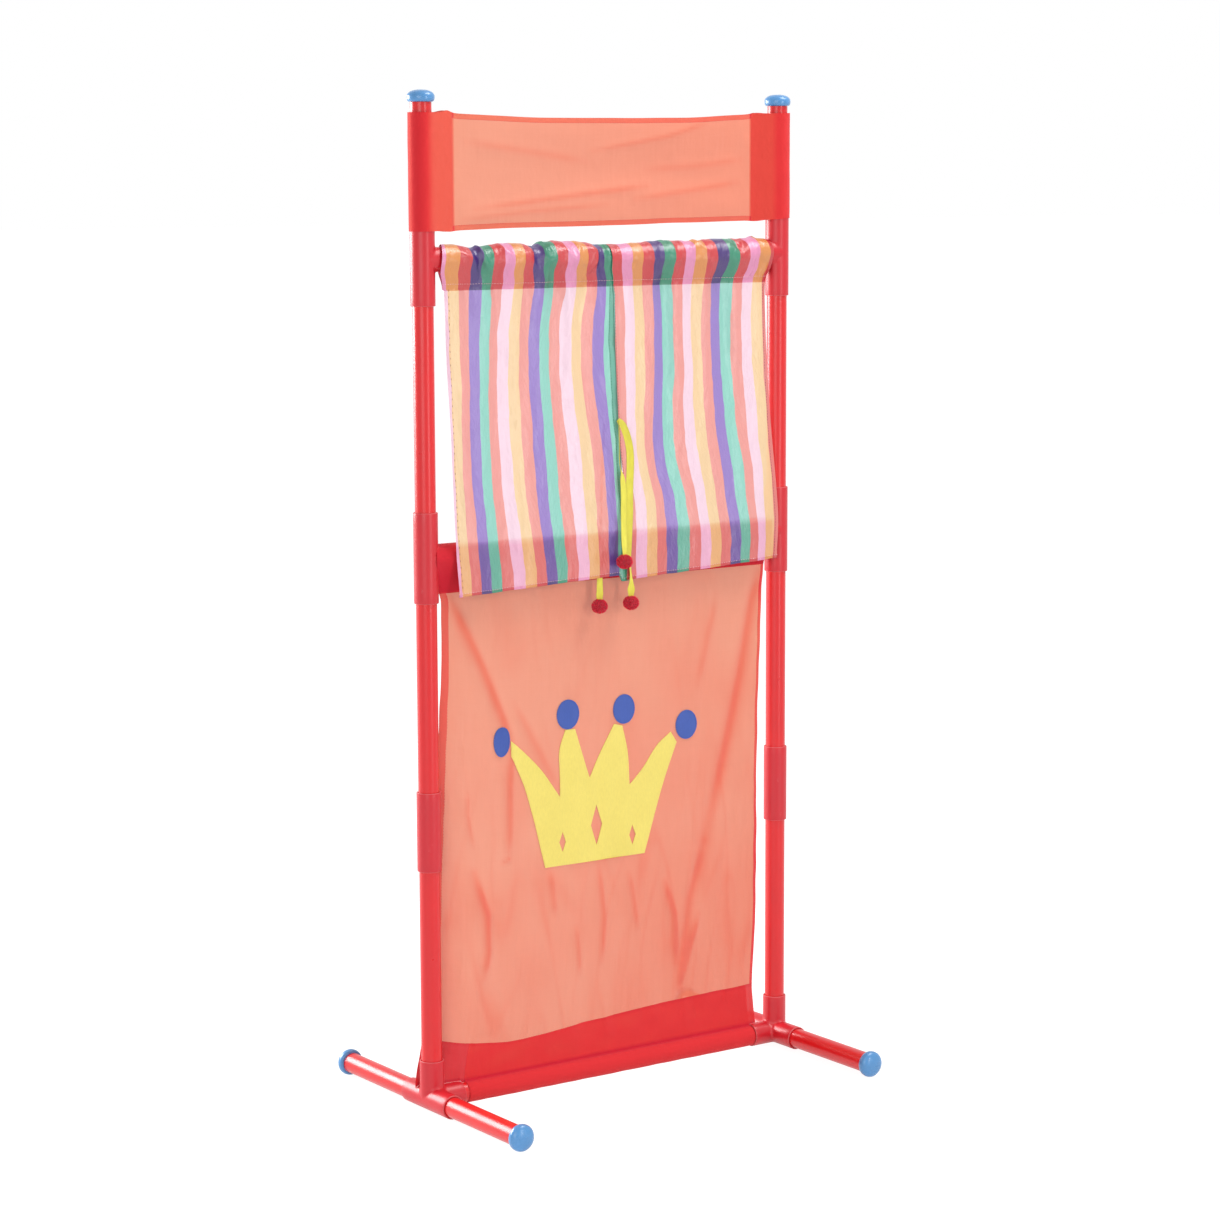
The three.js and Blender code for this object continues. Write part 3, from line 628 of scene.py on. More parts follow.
def grown(name, source, tree, values):
    """Runs a tree on a source object and returns the result as a plain mesh object"""
    modifier = source.modifiers.new(tree.name, "NODES")
    modifier.node_group = tree
    for item in tree.interface.items_tree:
        if item.in_out == "INPUT" and item.name in values:
            modifier[item.identifier] = values[item.name]
    depsgraph = bpy.context.evaluated_depsgraph_get()
    mesh = bpy.data.meshes.new_from_object(source.evaluated_get(depsgraph), depsgraph=depsgraph)
    mesh.name = name
    bpy.data.objects.remove(source)
    return placed(name, mesh)


def blank(name):
    return placed(name, bpy.data.meshes.new(name))


def tube_growth():
    """A round tube on Z: a ring path with the wall's section swept round it"""
    tree, entry = new_growth("Round tube", {
        "Radius": "Float", "Wall": "Float", "Length": "Float", "Sides": "Int",
        "Material": "Material",
    })
    half_wall = maths(tree, "MULTIPLY", entry["Wall"], 0.5)
    ring = add_node(tree, "GeometryNodeCurvePrimitiveCircle", {
        "Resolution": entry["Sides"], "Radius": maths(tree, "SUBTRACT", entry["Radius"], half_wall),
    })
    section = add_node(tree, "GeometryNodeCurvePrimitiveQuadrilateral", {
        "Width": entry["Wall"], "Height": entry["Length"],
    }, mode="RECTANGLE")
    swept = add_node(tree, "GeometryNodeCurveToMesh", {
        "Curve": ring.outputs["Curve"], "Profile Curve": section.outputs["Curve"],
    })
    return end_growth(tree, entry, swept.outputs["Mesh"])


def random_value(tree, low, high, seed):
    """A random number, or three of them where the limits are three"""
    if isinstance(low, tuple):
        return add_node(tree, "FunctionNodeRandomValue", {0: low, 1: high, "Seed": seed},
                        data_type="FLOAT_VECTOR").outputs[0]
    return add_node(tree, "FunctionNodeRandomValue", {2: low, 3: high, "Seed": seed}).outputs[1]


# Greatest lean of a stitch, as a share of its length, and least and greatest lean of a yarn end
# about its root, in radians
STITCH_LEAN = 0.09
YARN_LEANS = ((-0.5, -0.5, 0.0), (0.5, 0.5, 1.0))
YARN_DENSITY = 2.0e6


def stitch_growth():
    """Stitches along seam lines, each a little out of line with the next"""
    tree, entry = new_growth("Stitches", {
        "Pitch": "Float", "Stitch Length": "Float", "Thread Width": "Float", "Seed": "Int",
        "Material": "Material",
    })
    seams = add_node(tree, "GeometryNodeMeshToCurve", {"Mesh": entry["Geometry"]})
    points = add_node(tree, "GeometryNodeCurveToPoints", {
        "Curve": seams.outputs[0], "Length": entry["Pitch"],
    }, mode="LENGTH")
    lean = random_value(tree, (-STITCH_LEAN,) * 3, (STITCH_LEAN,) * 3, entry["Seed"])
    heading = add_node(tree, "ShaderNodeVectorMath", {
        0: points.outputs["Tangent"], 1: lean,
    }, operation="ADD")
    turn = add_node(tree, "FunctionNodeAlignRotationToVector", {
        "Vector": heading.outputs[0],
    }, axis="Z")
    size = add_node(tree, "ShaderNodeCombineXYZ", {
        0: entry["Thread Width"], 1: entry["Thread Width"], 2: entry["Stitch Length"],
    })
    bead = add_node(tree, "GeometryNodeMeshUVSphere", {"Segments": 6, "Rings": 4, "Radius": 0.5})
    stitches = add_node(tree, "GeometryNodeInstanceOnPoints", {
        "Points": points.outputs["Points"], "Instance": bead.outputs["Mesh"],
        "Rotation": turn.outputs[0], "Scale": size.outputs[0],
    })
    return end_growth(tree, entry, stitches.outputs[0])


def pompom_growth():
    """A ball of yarn ends that stand out of a core in all directions"""
    tree, entry = new_growth("Yarn pompom", {
        "Radius": "Float", "Yarn Length": "Float", "Yarn Width": "Float", "Yarn Gap": "Float",
        "Seed": "Int", "Material": "Material",
    })
    core_radius = maths(tree, "SUBTRACT", entry["Radius"], entry["Yarn Length"])
    core = add_node(tree, "GeometryNodeMeshIcoSphere", {"Radius": core_radius, "Subdivisions": 3})
    roots = add_node(tree, "GeometryNodeDistributePointsOnFaces", {
        "Mesh": core.outputs["Mesh"], "Distance Min": entry["Yarn Gap"],
        "Density Max": YARN_DENSITY, "Seed": entry["Seed"],
    }, distribute_method="POISSON")
    yarn = add_node(tree, "GeometryNodeMeshCone", {
        "Vertices": 5, "Side Segments": 2, "Fill Segments": 1,
        "Radius Top": maths(tree, "MULTIPLY", entry["Yarn Width"], 0.3),
        "Radius Bottom": maths(tree, "MULTIPLY", entry["Yarn Width"], 0.5),
        "Depth": entry["Yarn Length"],
    })
    turned = add_node(tree, "FunctionNodeRotateRotation", {
        "Rotation": roots.outputs["Rotation"],
        "Rotate By": random_value(tree, *YARN_LEANS, entry["Seed"]),
    }, rotation_space="LOCAL")
    ends = add_node(tree, "GeometryNodeInstanceOnPoints", {
        "Points": roots.outputs["Points"], "Instance": yarn.outputs["Mesh"],
        "Rotation": turned.outputs[0], "Scale": random_value(tree, 0.82, 1.0, entry["Seed"]),
    })
    tinted = add_node(tree, "GeometryNodeStoreNamedAttribute", {
        "Geometry": ends.outputs[0], "Name": "tint",
        "Value": random_value(tree, 0.0, 1.0, entry["Seed"]),
    }, data_type="FLOAT", domain="INSTANCE")
    whole = add_node(tree, "GeometryNodeJoinGeometry", {"Geometry": tinted.outputs[0]})
    tree.links.new(core.outputs["Mesh"], whole.inputs[0])
    return end_growth(tree, entry, whole.outputs[0])


def cloth_object(name, columns, across, layers, mark):
    """A sheet of cloth from columns of points in millimetres, top to bottom, which may end at
    different rows. across holds each column's place on the flat cloth, layers(i, j) says how far
    the cell right of column i and below row j is double, and mark(i, j, point) how deep the
    painted shade or the tone is there, stored as the creases attribute. Its UVs are places on the
    flat cloth."""
    index, points, places, marks = {}, [], [], []
    for i, column in enumerate(columns):
        along = 0.0
        for j, point in enumerate(column):
            if j:
                along += (Vector(point) - Vector(column[j - 1])).length
            index[i, j] = len(points)
            points.append(point)
            places.append((across[i] * MM, along * MM))
            marks.append(mark(i, j, point))
    faces, doubled = [], []
    for i in range(len(columns) - 1):
        for j in range(min(len(columns[i]), len(columns[i + 1])) - 1):
            faces.append([index[i, j], index[i, j + 1], index[i + 1, j + 1], index[i + 1, j]])
            doubled.append(layers(i, j))
    piece = mesh_object(name, points, faces)
    lay_flat(piece.data, places)
    store(piece.data, "layers", "FACE", doubled)
    store(piece.data, "creases", "POINT", marks)
    return piece


def with_marks(start, end, cell, *marks):
    """Places from start to end about a cell apart, with each mark among them"""
    stops = sorted({start, end, *marks})
    places = [start]
    for low, high in zip(stops, stops[1:]):
        count = max(1, round((high - low) / cell))
        places += [mix(low, high, share) for share in even(count)[1:]]
    return places


# Rows of a cloth's loop round a tube, and half the distance between its two layers at the seam
LINE_STEPS = 10
ARC_STEPS = 26
LOOP_SEAM = 0.6
LOOP_ROWS = 2 * LINE_STEPS + ARC_STEPS


def loop_path(radius, drop, sag=0.0, forward=0.0):
    """The way of a cloth round a tube, from its seam up the back, over and down the front to the
    seam again, as (depth, height) from the tube's axis. The seam may lie a little forward."""
    rear, front = (math.asin(min((radius - LOOP_SEAM + off) / (drop - sag), 1))
                   for off in (forward, -forward))
    path = []
    for t in even(LINE_STEPS)[:-1]:
        path.append((mix(LOOP_SEAM - forward, radius * math.cos(rear), t),
                     mix(-drop, -sag - radius * math.sin(rear), t)))
    for t in even(ARC_STEPS):
        angle = mix(-rear, math.pi + front, t)
        path.append((radius * math.cos(angle), radius * math.sin(angle) - sag))
    for t in even(LINE_STEPS)[1:]:
        path.append((mix(-radius * math.cos(front), -LOOP_SEAM - forward, t),
                     mix(-sag - radius * math.sin(front), -drop, t)))
    return path


# Where a tunnel leaves the sockets it settles on the thinner tube
SOCKET_END = POST_X - SIDE_REACH
SETTLE_LENGTH = 24.0
TUNNEL_PLAY = 0.3


def sag_along_bar(x):
    share = ease((SOCKET_END - abs(x)) / SETTLE_LENGTH)
    return share * (SLEEVE_RADIUS - TUBE_RADIUS - TUNNEL_PLAY)


# Tubes, fittings and caps

# Turns of the skin, in degrees, over which a moulded edge and a cut cloth's edge stay sharp
MOULDED_EDGE = 50
CUT_EDGE = 60
SOCKET_CHAMFER = 0.35
# Rows along an arm's outside, as shares of its length, and down its rounded rim, in degrees
ARM_SHARES = (0, 0.03, 0.07, 0.12, 0.18, 0.26, 0.4, 0.6, 0.8, 1)
RIM_TURNS = (25, 50, 90)
# Half the section of a cap's ribbed plug, as (distance from the plug's side, height)
PLUG_RADIUS = BORE_RADIUS - 0.9
PLUG_SECTION = [(0, 0.0), (0, -6.9), (0.6, -7.5), (0, -8.1), (0, -15.0), (-1.8, -15.0),
                (-1.8, -0.6)]
CAP_WAIST = 0.36 * CAP_HEIGHT


def add_tube(node, tree):
    frame_sizes = sizes_of("frame")
    low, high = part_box(node)
    reach = high - low
    axis = max(range(3), key=lambda i: reach[i])
    tube = grown(node.replace("_tube", "") + "_shell", blank(node), tree, {
        "Radius": frame_sizes.tube_radius, "Wall": frame_sizes.tube_wall,
        "Length": reach[axis], "Sides": frame_sizes.round_steps,
        "Material": finish_named("red_tube"),
    })
    direction = Vector([float(i == axis) for i in range(3)])
    turn = Vector((0, 0, 1)).rotation_difference(direction).to_matrix().to_4x4()
    tube.data.transform(Matrix.Translation((low + high) / 2) @ turn)
    reworked(tube.data, turn_outwards)
    settle(edged(tube), "stand", "tube", None, node)


def rays_about(direction, sides):
    """Directions all round a direction along an axis, and square to it"""
    first = Vector([abs(part) for part in (direction.y, direction.z, direction.x)])
    second = direction.cross(first)
    return [first * math.cos(turn) + second * math.sin(turn)
            for turn in (2 * math.pi * k / sides for k in range(sides))]


def faces_round(base, rows, sides):
    """Faces between rows of points that run round, whose first point is number base"""
    faces = []
    for j in range(rows - 1):
        for k in range(sides):
            a, b = base + j * sides + k, base + j * sides + (k + 1) % sides
            faces.append((a, b, b + sides, a + sides))
    return faces


def crossing_gap(point, runs, radius, fillet):
    """Distance from a point to the softly joined skins of a fitting's runs, and the way out"""
    total, way = None, None
    for direction, both_ways in runs:
        along = point.dot(direction)
        away = point - direction * (along if both_ways else max(along, 0.0))
        gap, out = away.length - radius, away.normalized()
        if total is None:
            total, way = gap, out
            continue
        width = max(fillet * (1 - way.dot(out) ** 2), 1e-6)
        share = clamp(0.5 + 0.5 * (gap - total) / width)
        total = mix(gap, total, share) - width * share * (1 - share)
        way = (way * share + out * (1 - share)).normalized()
    return total, way


def softened(point, runs, radius, fillet):
    """Moves a point out to the softly joined skins, in a few steps"""
    for _ in range(5):
        gap, way = crossing_gap(point, runs, radius, fillet)
        if gap > -1e-4:
            break
        point = point - way * gap
    return point


def add_fitting(node, middle, arms, seat, fillet, rim_round):
    """A moulded fitting whose arms, given as directions and reaches, are sockets with a stop lip"""
    sides = sizes_of("frame").round_steps
    directions = [Vector(direction) for direction, _ in arms]
    runs = []
    for direction in directions:
        if not any((direction + other).length < 0.1 for other, _ in runs):
            both = any((direction + other).length < 0.1 for other in directions)
            runs.append((direction, both))
    points, faces, rims = [], [], []
    for direction, (_, reach) in zip(directions, arms):
        others = [other for other in directions if abs(direction.dot(other)) < 0.1]
        rays = rays_about(direction, sides)
        starts = [max([0.0, *(ray.dot(other) for other in others)]) for ray in rays]
        full = reach - rim_round
        rows = [[(FITTING_RADIUS, mix(start * FITTING_RADIUS, full, share), 0.0)
                 for start in starts] for share in ARM_SHARES]
        for turn in (math.radians(degrees) for degrees in RIM_TURNS):
            back, out = rim_round * (1 - math.cos(turn)), rim_round * math.sin(turn)
            rows.append([(FITTING_RADIUS - back, full + out, 1.0)] * sides)
        for inner in ((SOCKET_RADIUS + SOCKET_CHAMFER, reach, 1.0),
                      (SOCKET_RADIUS, reach - SOCKET_CHAMFER, 1.0),
                      (SOCKET_RADIUS, seat, 0.0), (BORE_RADIUS, seat, 0.0)):
            rows.append([inner] * sides)
        rows.append([(BORE_RADIUS, start * BORE_RADIUS, 0.0) for start in starts])
        faces += faces_round(len(points), len(rows), sides)
        for j, row in enumerate(rows):
            for ray, (radius, along, rim) in zip(rays, row):
                point = ray * radius + direction * along
                if len(arms) > 2 and j < len(ARM_SHARES):
                    point = softened(point, runs, FITTING_RADIUS, fillet)
                points.append(middle + point)
                rims.append(rim)
    piece = mesh_object(f"{node}_moulding", points, faces)
    store(piece.data, "rim", "POINT", rims)
    reworked(piece.data, merge_doubles, drop_slivers, turn_outwards)
    settle(edged(piece, MOULDED_EDGE), "stand", "fitting", "red_fitting", node)


def cap_profile(overhang):
    """Half the section of a cap, from the top of its bun-shaped head to the plug's inside"""
    profile = []
    for share in even(16):
        angle = math.radians(90 - 90 * share)
        profile.append((CAP_RADIUS * math.cos(angle) ** 0.8,
                        CAP_WAIST + (CAP_HEIGHT - CAP_WAIST) * math.sin(angle) ** 0.86))
    for share in even(6)[1:]:
        angle = math.radians(90 * share)
        profile.append((CAP_RADIUS - overhang * (1 - math.cos(angle)),
                        CAP_WAIST * (1 - math.sin(angle))))
    profile += [(PLUG_RADIUS + out, height) for out, height in PLUG_SECTION]
    return [*profile, (0.0, PLUG_SECTION[-1][1])]


def add_cap(node, overhang):
    sides = sizes_of("frame").round_steps
    low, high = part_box(node)
    if node.endswith("top_cap"):
        direction = Vector((0, 0, 1))
        foot = Vector((centre(node).x, 0, STAND_TOP - CAP_HEIGHT))
    else:
        way = -1 if "front" in node else 1
        tip = (low.y if way < 0 else high.y) / MM
        direction = Vector((0, way, 0))
        foot = Vector((centre(node).x, tip - way * CAP_HEIGHT, FOOT_Z))
    profile = cap_profile(overhang)
    rays = rays_about(direction, sides)
    points = [foot + ray * radius + direction * height for radius, height in profile
              for ray in rays]
    piece = mesh_object(f"{node}_dome", points, faces_round(0, len(profile), sides))
    reworked(piece.data, merge_doubles, turn_outwards)
    settle(edged(piece, MOULDED_EDGE), "stand", "cap", "blue_cap", node)


# Banner

BANNER_SEAM = 42.0
BANNER_TOP = STAND_TOP - 26.0
BANNER_LOW = ROD_Z + 33.0
BANNER_HEIGHT = 138.0
# Where the sleeves end and the single sheet begins
SLEEVE_END = POST_X - BANNER_SEAM
# Over how many millimetres the sheet between the sleeves comes to its full depth
BANNER_START = 16
# How far the free edges curve in and rise to the right, where the top one perks up and how far,
# and how far the low one droops at its corners
BANNER_DIP = 5.0
BANNER_RISE = 9.0
TOP_PERKS = ((-229, 3.0), (226, 1.4))
LOW_DROOP = 1.2
LOW_CORNER = 226
# Soft folds as a line of places (x, z), a depth and a width
BANNER_FOLDS = [
    ((-190, 1082), (-40, 1098), (60, 1108), 1.6, 7),
    ((-20, 1150), (90, 1168), (150, 1184), 1.3, 6),
    ((-205, 1070), (-120, 1078), (0, 1086), 1.2, 6),
    ((40, 1092), (140, 1104), (200, 1112), 1.2, 7),
    ((-200, 1160), (-120, 1150), (-30, 1138), 1.0, 9),
    ((60, 1128), (140, 1132), (205, 1140), 0.9, 8),
]


def banner_edges(x):
    """Heights of the banner's free edges, which curve in between the posts"""
    share = (x + POST_X) / (2 * POST_X)
    dip = BANNER_DIP * ease((POST_X - abs(x)) / (2 * POST_X / 3))
    rise = BANNER_RISE * share**3
    perk = sum(height * hill(x - place, 9) for place, height in TOP_PERKS)
    flutter = 0.5 * rumple(x, 0, 60, 1, 4.2)
    return (BANNER_TOP - dip + rise / 3 + perk + flutter * (1 - hill(abs(x) - POST_X, 26)),
            BANNER_LOW + dip / 2 + rise + flutter - LOW_DROOP * hill(abs(x) - LOW_CORNER, 10))


# How many of its widths a crease reaches to each side, how many times its fading ends go into
# its length, and the share of its depth that is left at an end
CREASE_REACH = 2.6
CREASE_ENDS = 5
CREASE_END_DEPTH = 0.35


def crease_sum(creases, x, z):
    """Depth of soft creases at a place; each is a line of points, a depth and a width"""
    total = 0.0
    place = Vector((x, z))
    for *line, depth, width in creases:
        found = []
        for i, (start, end) in enumerate(zip(line, line[1:])):
            start, end = Vector(start), Vector(end)
            along = end - start
            share = clamp((place - start).dot(along) / along.length_squared)
            found.append(((place - start - along * share).length, (i + share) / (len(line) - 1)))
        gap, share = min(found)
        if gap < CREASE_REACH * width:
            fade = ease(share * CREASE_ENDS) * ease((1 - share) * CREASE_ENDS)
            total += depth * hill(gap, width) * mix(CREASE_END_DEPTH, 1, fade)
    return total


def banner_depth(x, z):
    top, low = banner_edges(x)
    along = (top - z) / (top - low)
    across = (x + POST_X) / (2 * POST_X)
    bulge = 1.5 * math.sin(math.pi * across) * math.sin(math.pi * 3 * along)
    wave = 1.0 * rumple(x, z, 90, 30, 1.7) + 0.3 * rumple(x, z, 30, 18, 8.1)
    return -bulge - crease_sum(BANNER_FOLDS, x, z) + wave


def banner_front(x, z):
    """Depth of the sheet between the sleeves, which starts flat at their seams"""
    return banner_depth(x, z) * ease((SLEEVE_END - abs(x)) / BANNER_START) - LOOP_SEAM


def sleeve_tone_and_shade(x):
    """Tone of the banner's sleeves, with painted shade where the post lies behind them, deepest
    over the post's shaded left half on the left sleeve
    """
    off = abs(x) - POST_X
    behind = ease((off + 15.5) / 5) * ease((17 - off) / 3)
    if x > 0:
        return 0.86 + 0.14 * behind
    return 0.74 + behind * (0.02 + 0.4 * ease(0.5 - (x + POST_X) / 22))


def make_banner():
    cloth = sizes_of("cloth")
    cell, hem = cloth.cell / MM, cloth.banner_hem / MM
    loop = loop_path(SLEEVE_RADIUS + CLOTH / 2, BANNER_SEAM)
    left = [(-POST_X - height, depth) for depth, height in loop]
    right = [(-x, depth) for x, depth in reversed(left)]
    middle = [(x, None) for x in with_marks(-SLEEVE_END, SLEEVE_END, cell)[1:-1]]
    heights = with_marks(0.0, BANNER_HEIGHT, cell, hem, BANNER_HEIGHT - hem)
    columns, across = [], [0.0]
    for x, depth in left + middle + right:
        top, low = banner_edges(x)
        column = []
        for height in heights:
            z = mix(top, low, height / BANNER_HEIGHT)
            if depth is None:
                y = banner_front(x, z)
            else:
                pucker = 0.5 * rumple(depth * 2 + x, z, 30, 22, 6.4)
                away = 1 if depth > 0 else -1
                y = depth + pucker * away * ease((abs(x) - SLEEVE_END) / 12)
            column.append((x, y, z))
        if columns:
            across.append(across[-1] + (Vector(column[0]) - Vector(columns[-1][0])).length)
        columns.append(column)
    low_row, high_row = heights.index(hem), heights.index(BANNER_HEIGHT - hem)
    sleeve_end, sleeve_start = len(left) - 1, len(left) + len(middle)

    def layers(i, j):
        in_hem = j < low_row or j >= high_row
        return 0.5 if in_hem and sleeve_end <= i < sleeve_start else 0.0

    painted_creases = [(*line, 0.15 * depth, 0.5 * wide) for *line, depth, wide in BANNER_FOLDS]

    def mark(i, j, point):
        x, _, z = point
        if sleeve_end < i < sleeve_start:
            # Painted shade along the folds, and a tone that deepens towards the right
            return crease_sum(painted_creases, x, z) + 0.16 * ease((x + 200) / 420)
        # Sleeves: their own tone, with painted shade where the post lies behind
        return sleeve_tone_and_shade(x)

    piece = cloth_object("banner_cloth", columns, across, layers, mark)
    settle(piece, "stand", "coral_cloth", "coral_voile", "banner")


# Curtains

TUNNEL_DROP = 35.0
CURTAIN_SEAM = ROD_Z - TUNNEL_DROP
CURTAIN_LOW = BAR_Z - 44.0
DEPTH_AT_BAR = 20.2
# Width of a curtain, as its hems' shapes take it
CURTAIN_WIDTH = 240
CURTAIN_CELL = 2.1
# Rows of the hanging part, from just under the seam to the low hem
FALL_ROWS = 72
SEAM_STEP = 1.6
# Radius of the low hem's turned edge
HEM_TURN = 0.9
# Shares of a second layer in the outer and the leading hem, and in the low one
SIDE_HEM_LAYERS = {"left": (0.25, 0.6), "right": (0.15, 0.35)}
LOW_HEM_LAYERS = 0.7
# How far a tunnel's left end is tucked round the tee, from where, and how far along the rod
END_TUCK = 8.0
TUCK_START = -(POST_X - 16)
TUCK_LENGTH = 45
# How far in front of the rod's axis the tunnels' seam lies
SEAM_FORWARD = 6.0
# Where the leading edges lie, as shares of SLIT_SWING by the share of the way down, and how far
# each is moved on from there
SLIT_SWING = 8.0
SLIT_OVERLAP = {"left": 1.8, "right": -0.8}
SLIT_SHARES = [(0, -0.5), (0.08, -0.43), (0.29, -0.1), (0.5, 0.41), (0.69, 0.9), (1, 0.83)]
# How far each outer edge stands off its post, by the share of the way down
DRIFTS = {
    "left": [(-0.05, 8), (0, 7), (0.05, 4.5), (0.096, 1.3), (0.15, 2), (0.42, 6.4),
             (0.72, 12.4), (1, 20)],
    "right": [(0, 2), (0.045, 4), (0.075, 13), (0.19, 16.4), (0.32, 14.8), (0.54, 7),
              (0.77, -3), (0.87, -5.6), (1, -3)],
}
# How far both curtains are drawn to the right, by height
DRAWN = [(BAR_Z, -2.0), (CURTAIN_SEAM, 8.0), (CURTAIN_SEAM + 22, 1.4), (ROD_Z + 24, 1.4)]
# Where each curtain's outer edge and leading edge lie on the striped cloth
STRIPES_FROM = {"left": (11.0, 255.0), "right": (487.0, 255.0)}
# How far the cloth has slipped sideways: for shares from the outer edge, (height, slip) pairs
CURTAIN_SLIPS = {
    "left": [
        (0, [(655, 0), (985, 0)]),
        (0.14, [(655, -2.8), (742, -7), (822, -7.4), (878, -4.3), (940, -2), (985, 2)]),
        (0.51, [(655, 5.3), (742, -6.5), (822, -10), (878, -10), (940, -7), (985, 2)]),
        (0.88, [(655, 10), (742, 6), (822, -1.2), (878, -7.4), (940, -5), (985, 4.6)]),
        (1, [(628, 11), (655, 9), (700, 5), (770, 0), (985, 0)]),
    ],
    "right": [
        (0, [(655, 0), (985, 0)]),
        (0.353, [(667, 13), (720, 4), (765, 0), (822, -5.6), (880, -5), (937, -4.3), (985, -2.5)]),
        (0.741, [(667, 8), (720, 4.6), (765, -7.4), (822, -8.4), (880, -3.4), (937, -1),
                 (985, -2.5)]),
        (1, [(628, 9), (690, 8), (740, 4), (800, 0), (985, 0)]),
    ],
}
# Pitch of the gathers under the tunnels and of the broad waves
GATHER_PITCH = 41
WAVE_PITCH = 83
# Side sway of the stripes under the seam
SWAY = 1.6
# How deep the painted shade is where the crossbar lies behind the curtains
BAR_SHADE = 0.58
# The tunnels' backs have the same creases, mirrored and moved on this far
BACK_SHIFT = 31
# How far the gathered tunnels stand off the rod, by place
TUNNEL_PUFFS = [
    (-247, 0.6), (-232, 2.4), (-212, 0.8), (-186, 0.6), (-160, 4.2), (-126, 3.6), (-109, 0),
    (-90, 5.2), (-60, 5.6), (-38, 4.4), (-20, 0.8), (10, 0.4), (40, 1.6), (76, 4.2), (100, 4.0),
    (118, 2.6), (150, 4.8), (190, 4.8), (228, 3.4), (247, 0.6),
]
# Creases of the tunnels as places (x, z), a depth and a width
TUNNEL_CREASES = [
    ((-219, 1032), (-211, 1028), (-202, 1024), 1.6, 3),
    ((-228, 1020), (-224, 1006), (-226, 992), -1.4, 4),
    ((-191, 1040), (-188, 1025), (-183, 1016), (-174, 1007), 3.2, 3.2),
    ((-196, 1036), (-192, 1022), (-189, 1006), (-193, 992), -3.0, 4.5),
    ((-162, 1033), (-157, 1030), (-147, 1024), 2.0, 3),
    ((-154, 1016), (-150, 1002), (-152, 990), -1.8, 4),
    ((-108, 1042), (-108, 1019), -3.0, 5),
    ((-114, 1024), (-108, 1018), (-102, 1024), -2.2, 2.6),
    ((-112, 1012), (-118, 1001), (-116, 990), 1.8, 3.5),
    ((-100, 1025), (-94, 1021), (-86, 1025), 1.9, 2.6),
    ((-88, 1016), (-90, 1003), (-86, 990), -1.5, 4),
    ((-73, 1031), (-66, 1026), (-58, 1021), (-52, 1032), 2.4, 2.8),
    ((-58, 1018), (-62, 1003), (-58, 990), -1.5, 4),
    ((-41, 1032), (-26, 1029), (-29, 1017), (-44, 1000), 2.6, 3.5),
    ((-14, 1034), (-12, 1014), (-17, 996), -1.6, 4),
    ((30, 1020), (26, 1004), (28, 990), -1.4, 4),
    ((58, 1026), (62, 1008), (57, 991), 1.3, 4),
    ((111, 1036), (117, 1028), (127, 1036), (139, 1028), 2.2, 2.8),
    ((104, 1020), (98, 1004), (100, 990), -1.5, 4),
    ((146, 1020), (150, 1004), (146, 990), 1.2, 4),
    ((184, 1034), (193, 1028), (203, 1037), -2.2, 3),
    ((186, 1018), (180, 1003), (182, 990), 1.5, 4),
    ((221, 1024), (226, 1008), (222, 990), -1.5, 4),
]
# Soft creases of the hanging part
FALL_CREASES = [
    ((4, 984), (14, 962), (18, 930), 1.6, 5), ((-176, 985), (-168, 962), (-172, 936), 1.8, 5),
    ((-104, 985), (-112, 958), (-114, 915), 1.5, 6), ((-16, 880), (-8, 862), (0, 850), 1.8, 4),
    ((-38, 722), (-27, 700), (-20, 676), -2.0, 5), ((-70, 985), (-66, 950), (-68, 905), -1.2, 6),
    ((96, 985), (92, 950), (96, 890), 1.3, 6), ((176, 985), (172, 948), (178, 880), -1.4, 7),
    ((-150, 800), (-146, 740), (-138, 660), 1.4, 8), ((60, 820), (66, 750), (84, 670), -1.6, 8),
    ((186, 800), (196, 730), (206, 660), 1.5, 8), ((-214, 900), (-218, 800), (-205, 690), 1.3, 8),
]


def drop_share(z):
    return (ROD_Z - z) / (ROD_Z - CURTAIN_LOW)


def curtain_x(side, share, z):
    """share runs from a curtain's outer edge to its leading edge at the slit, where the right
    curtain lies a little over the left one"""
    sign = SIDES[side]
    drop = drop_share(z)
    outer = sign * (POST_X - FITTING_RADIUS - 0.9 - through(DRIFTS[side], drop))
    slit = SLIT_SWING * through(SLIT_SHARES, drop) + SLIT_OVERLAP[side]
    slip = through([(place, through(heights, z)) for place, heights in CURTAIN_SLIPS[side]], share)
    sway = rumple(250 * share * sign, z, 38, 30, 12.5) * math.sin(math.pi * share)
    sway = SWAY * sway * hill(z - CURTAIN_SEAM, 50)
    return mix(outer, slit, share) + slip + sway + through(DRAWN, z)


def end_tuck(x, depth):
    """How far a tunnel's left end, snug on the tee, lies further left in front than behind"""
    return END_TUCK * ease(1 - (x - TUCK_START) / TUCK_LENGTH) * depth / SLEEVE_RADIUS


def curtain_fold(x, z):
    """Depth of the gathers, which are deepest under the tunnel and calm down at the slit"""
    fall = clamp(drop_share(z))
    calm = ease((abs(x) - 12) / 26)
    ruffle = sizes_of("cloth").ruffle / MM * (1 - fall) ** 2
    ruffle *= math.cos(2 * math.pi * x / GATHER_PITCH)
    wave = 1.1 * math.cos(2 * math.pi * x / WAVE_PITCH)
    fine = (2.6 * (1 - fall) ** 1.4 + 0.9) * rumple(x, z, 16, 95, 3.3)
    broad = 2.0 * rumple(x, z, 46, 160, 7.9)
    return calm * (ruffle + wave + fine + broad) - crease_sum(FALL_CREASES, x, z)


def curtain_depth(z):
    bar_front = BAR_Z + SLEEVE_RADIUS + CLOTH
    share = clamp((CURTAIN_SEAM - z) / (CURTAIN_SEAM - bar_front))
    return -mix(SEAM_FORWARD, DEPTH_AT_BAR, share)


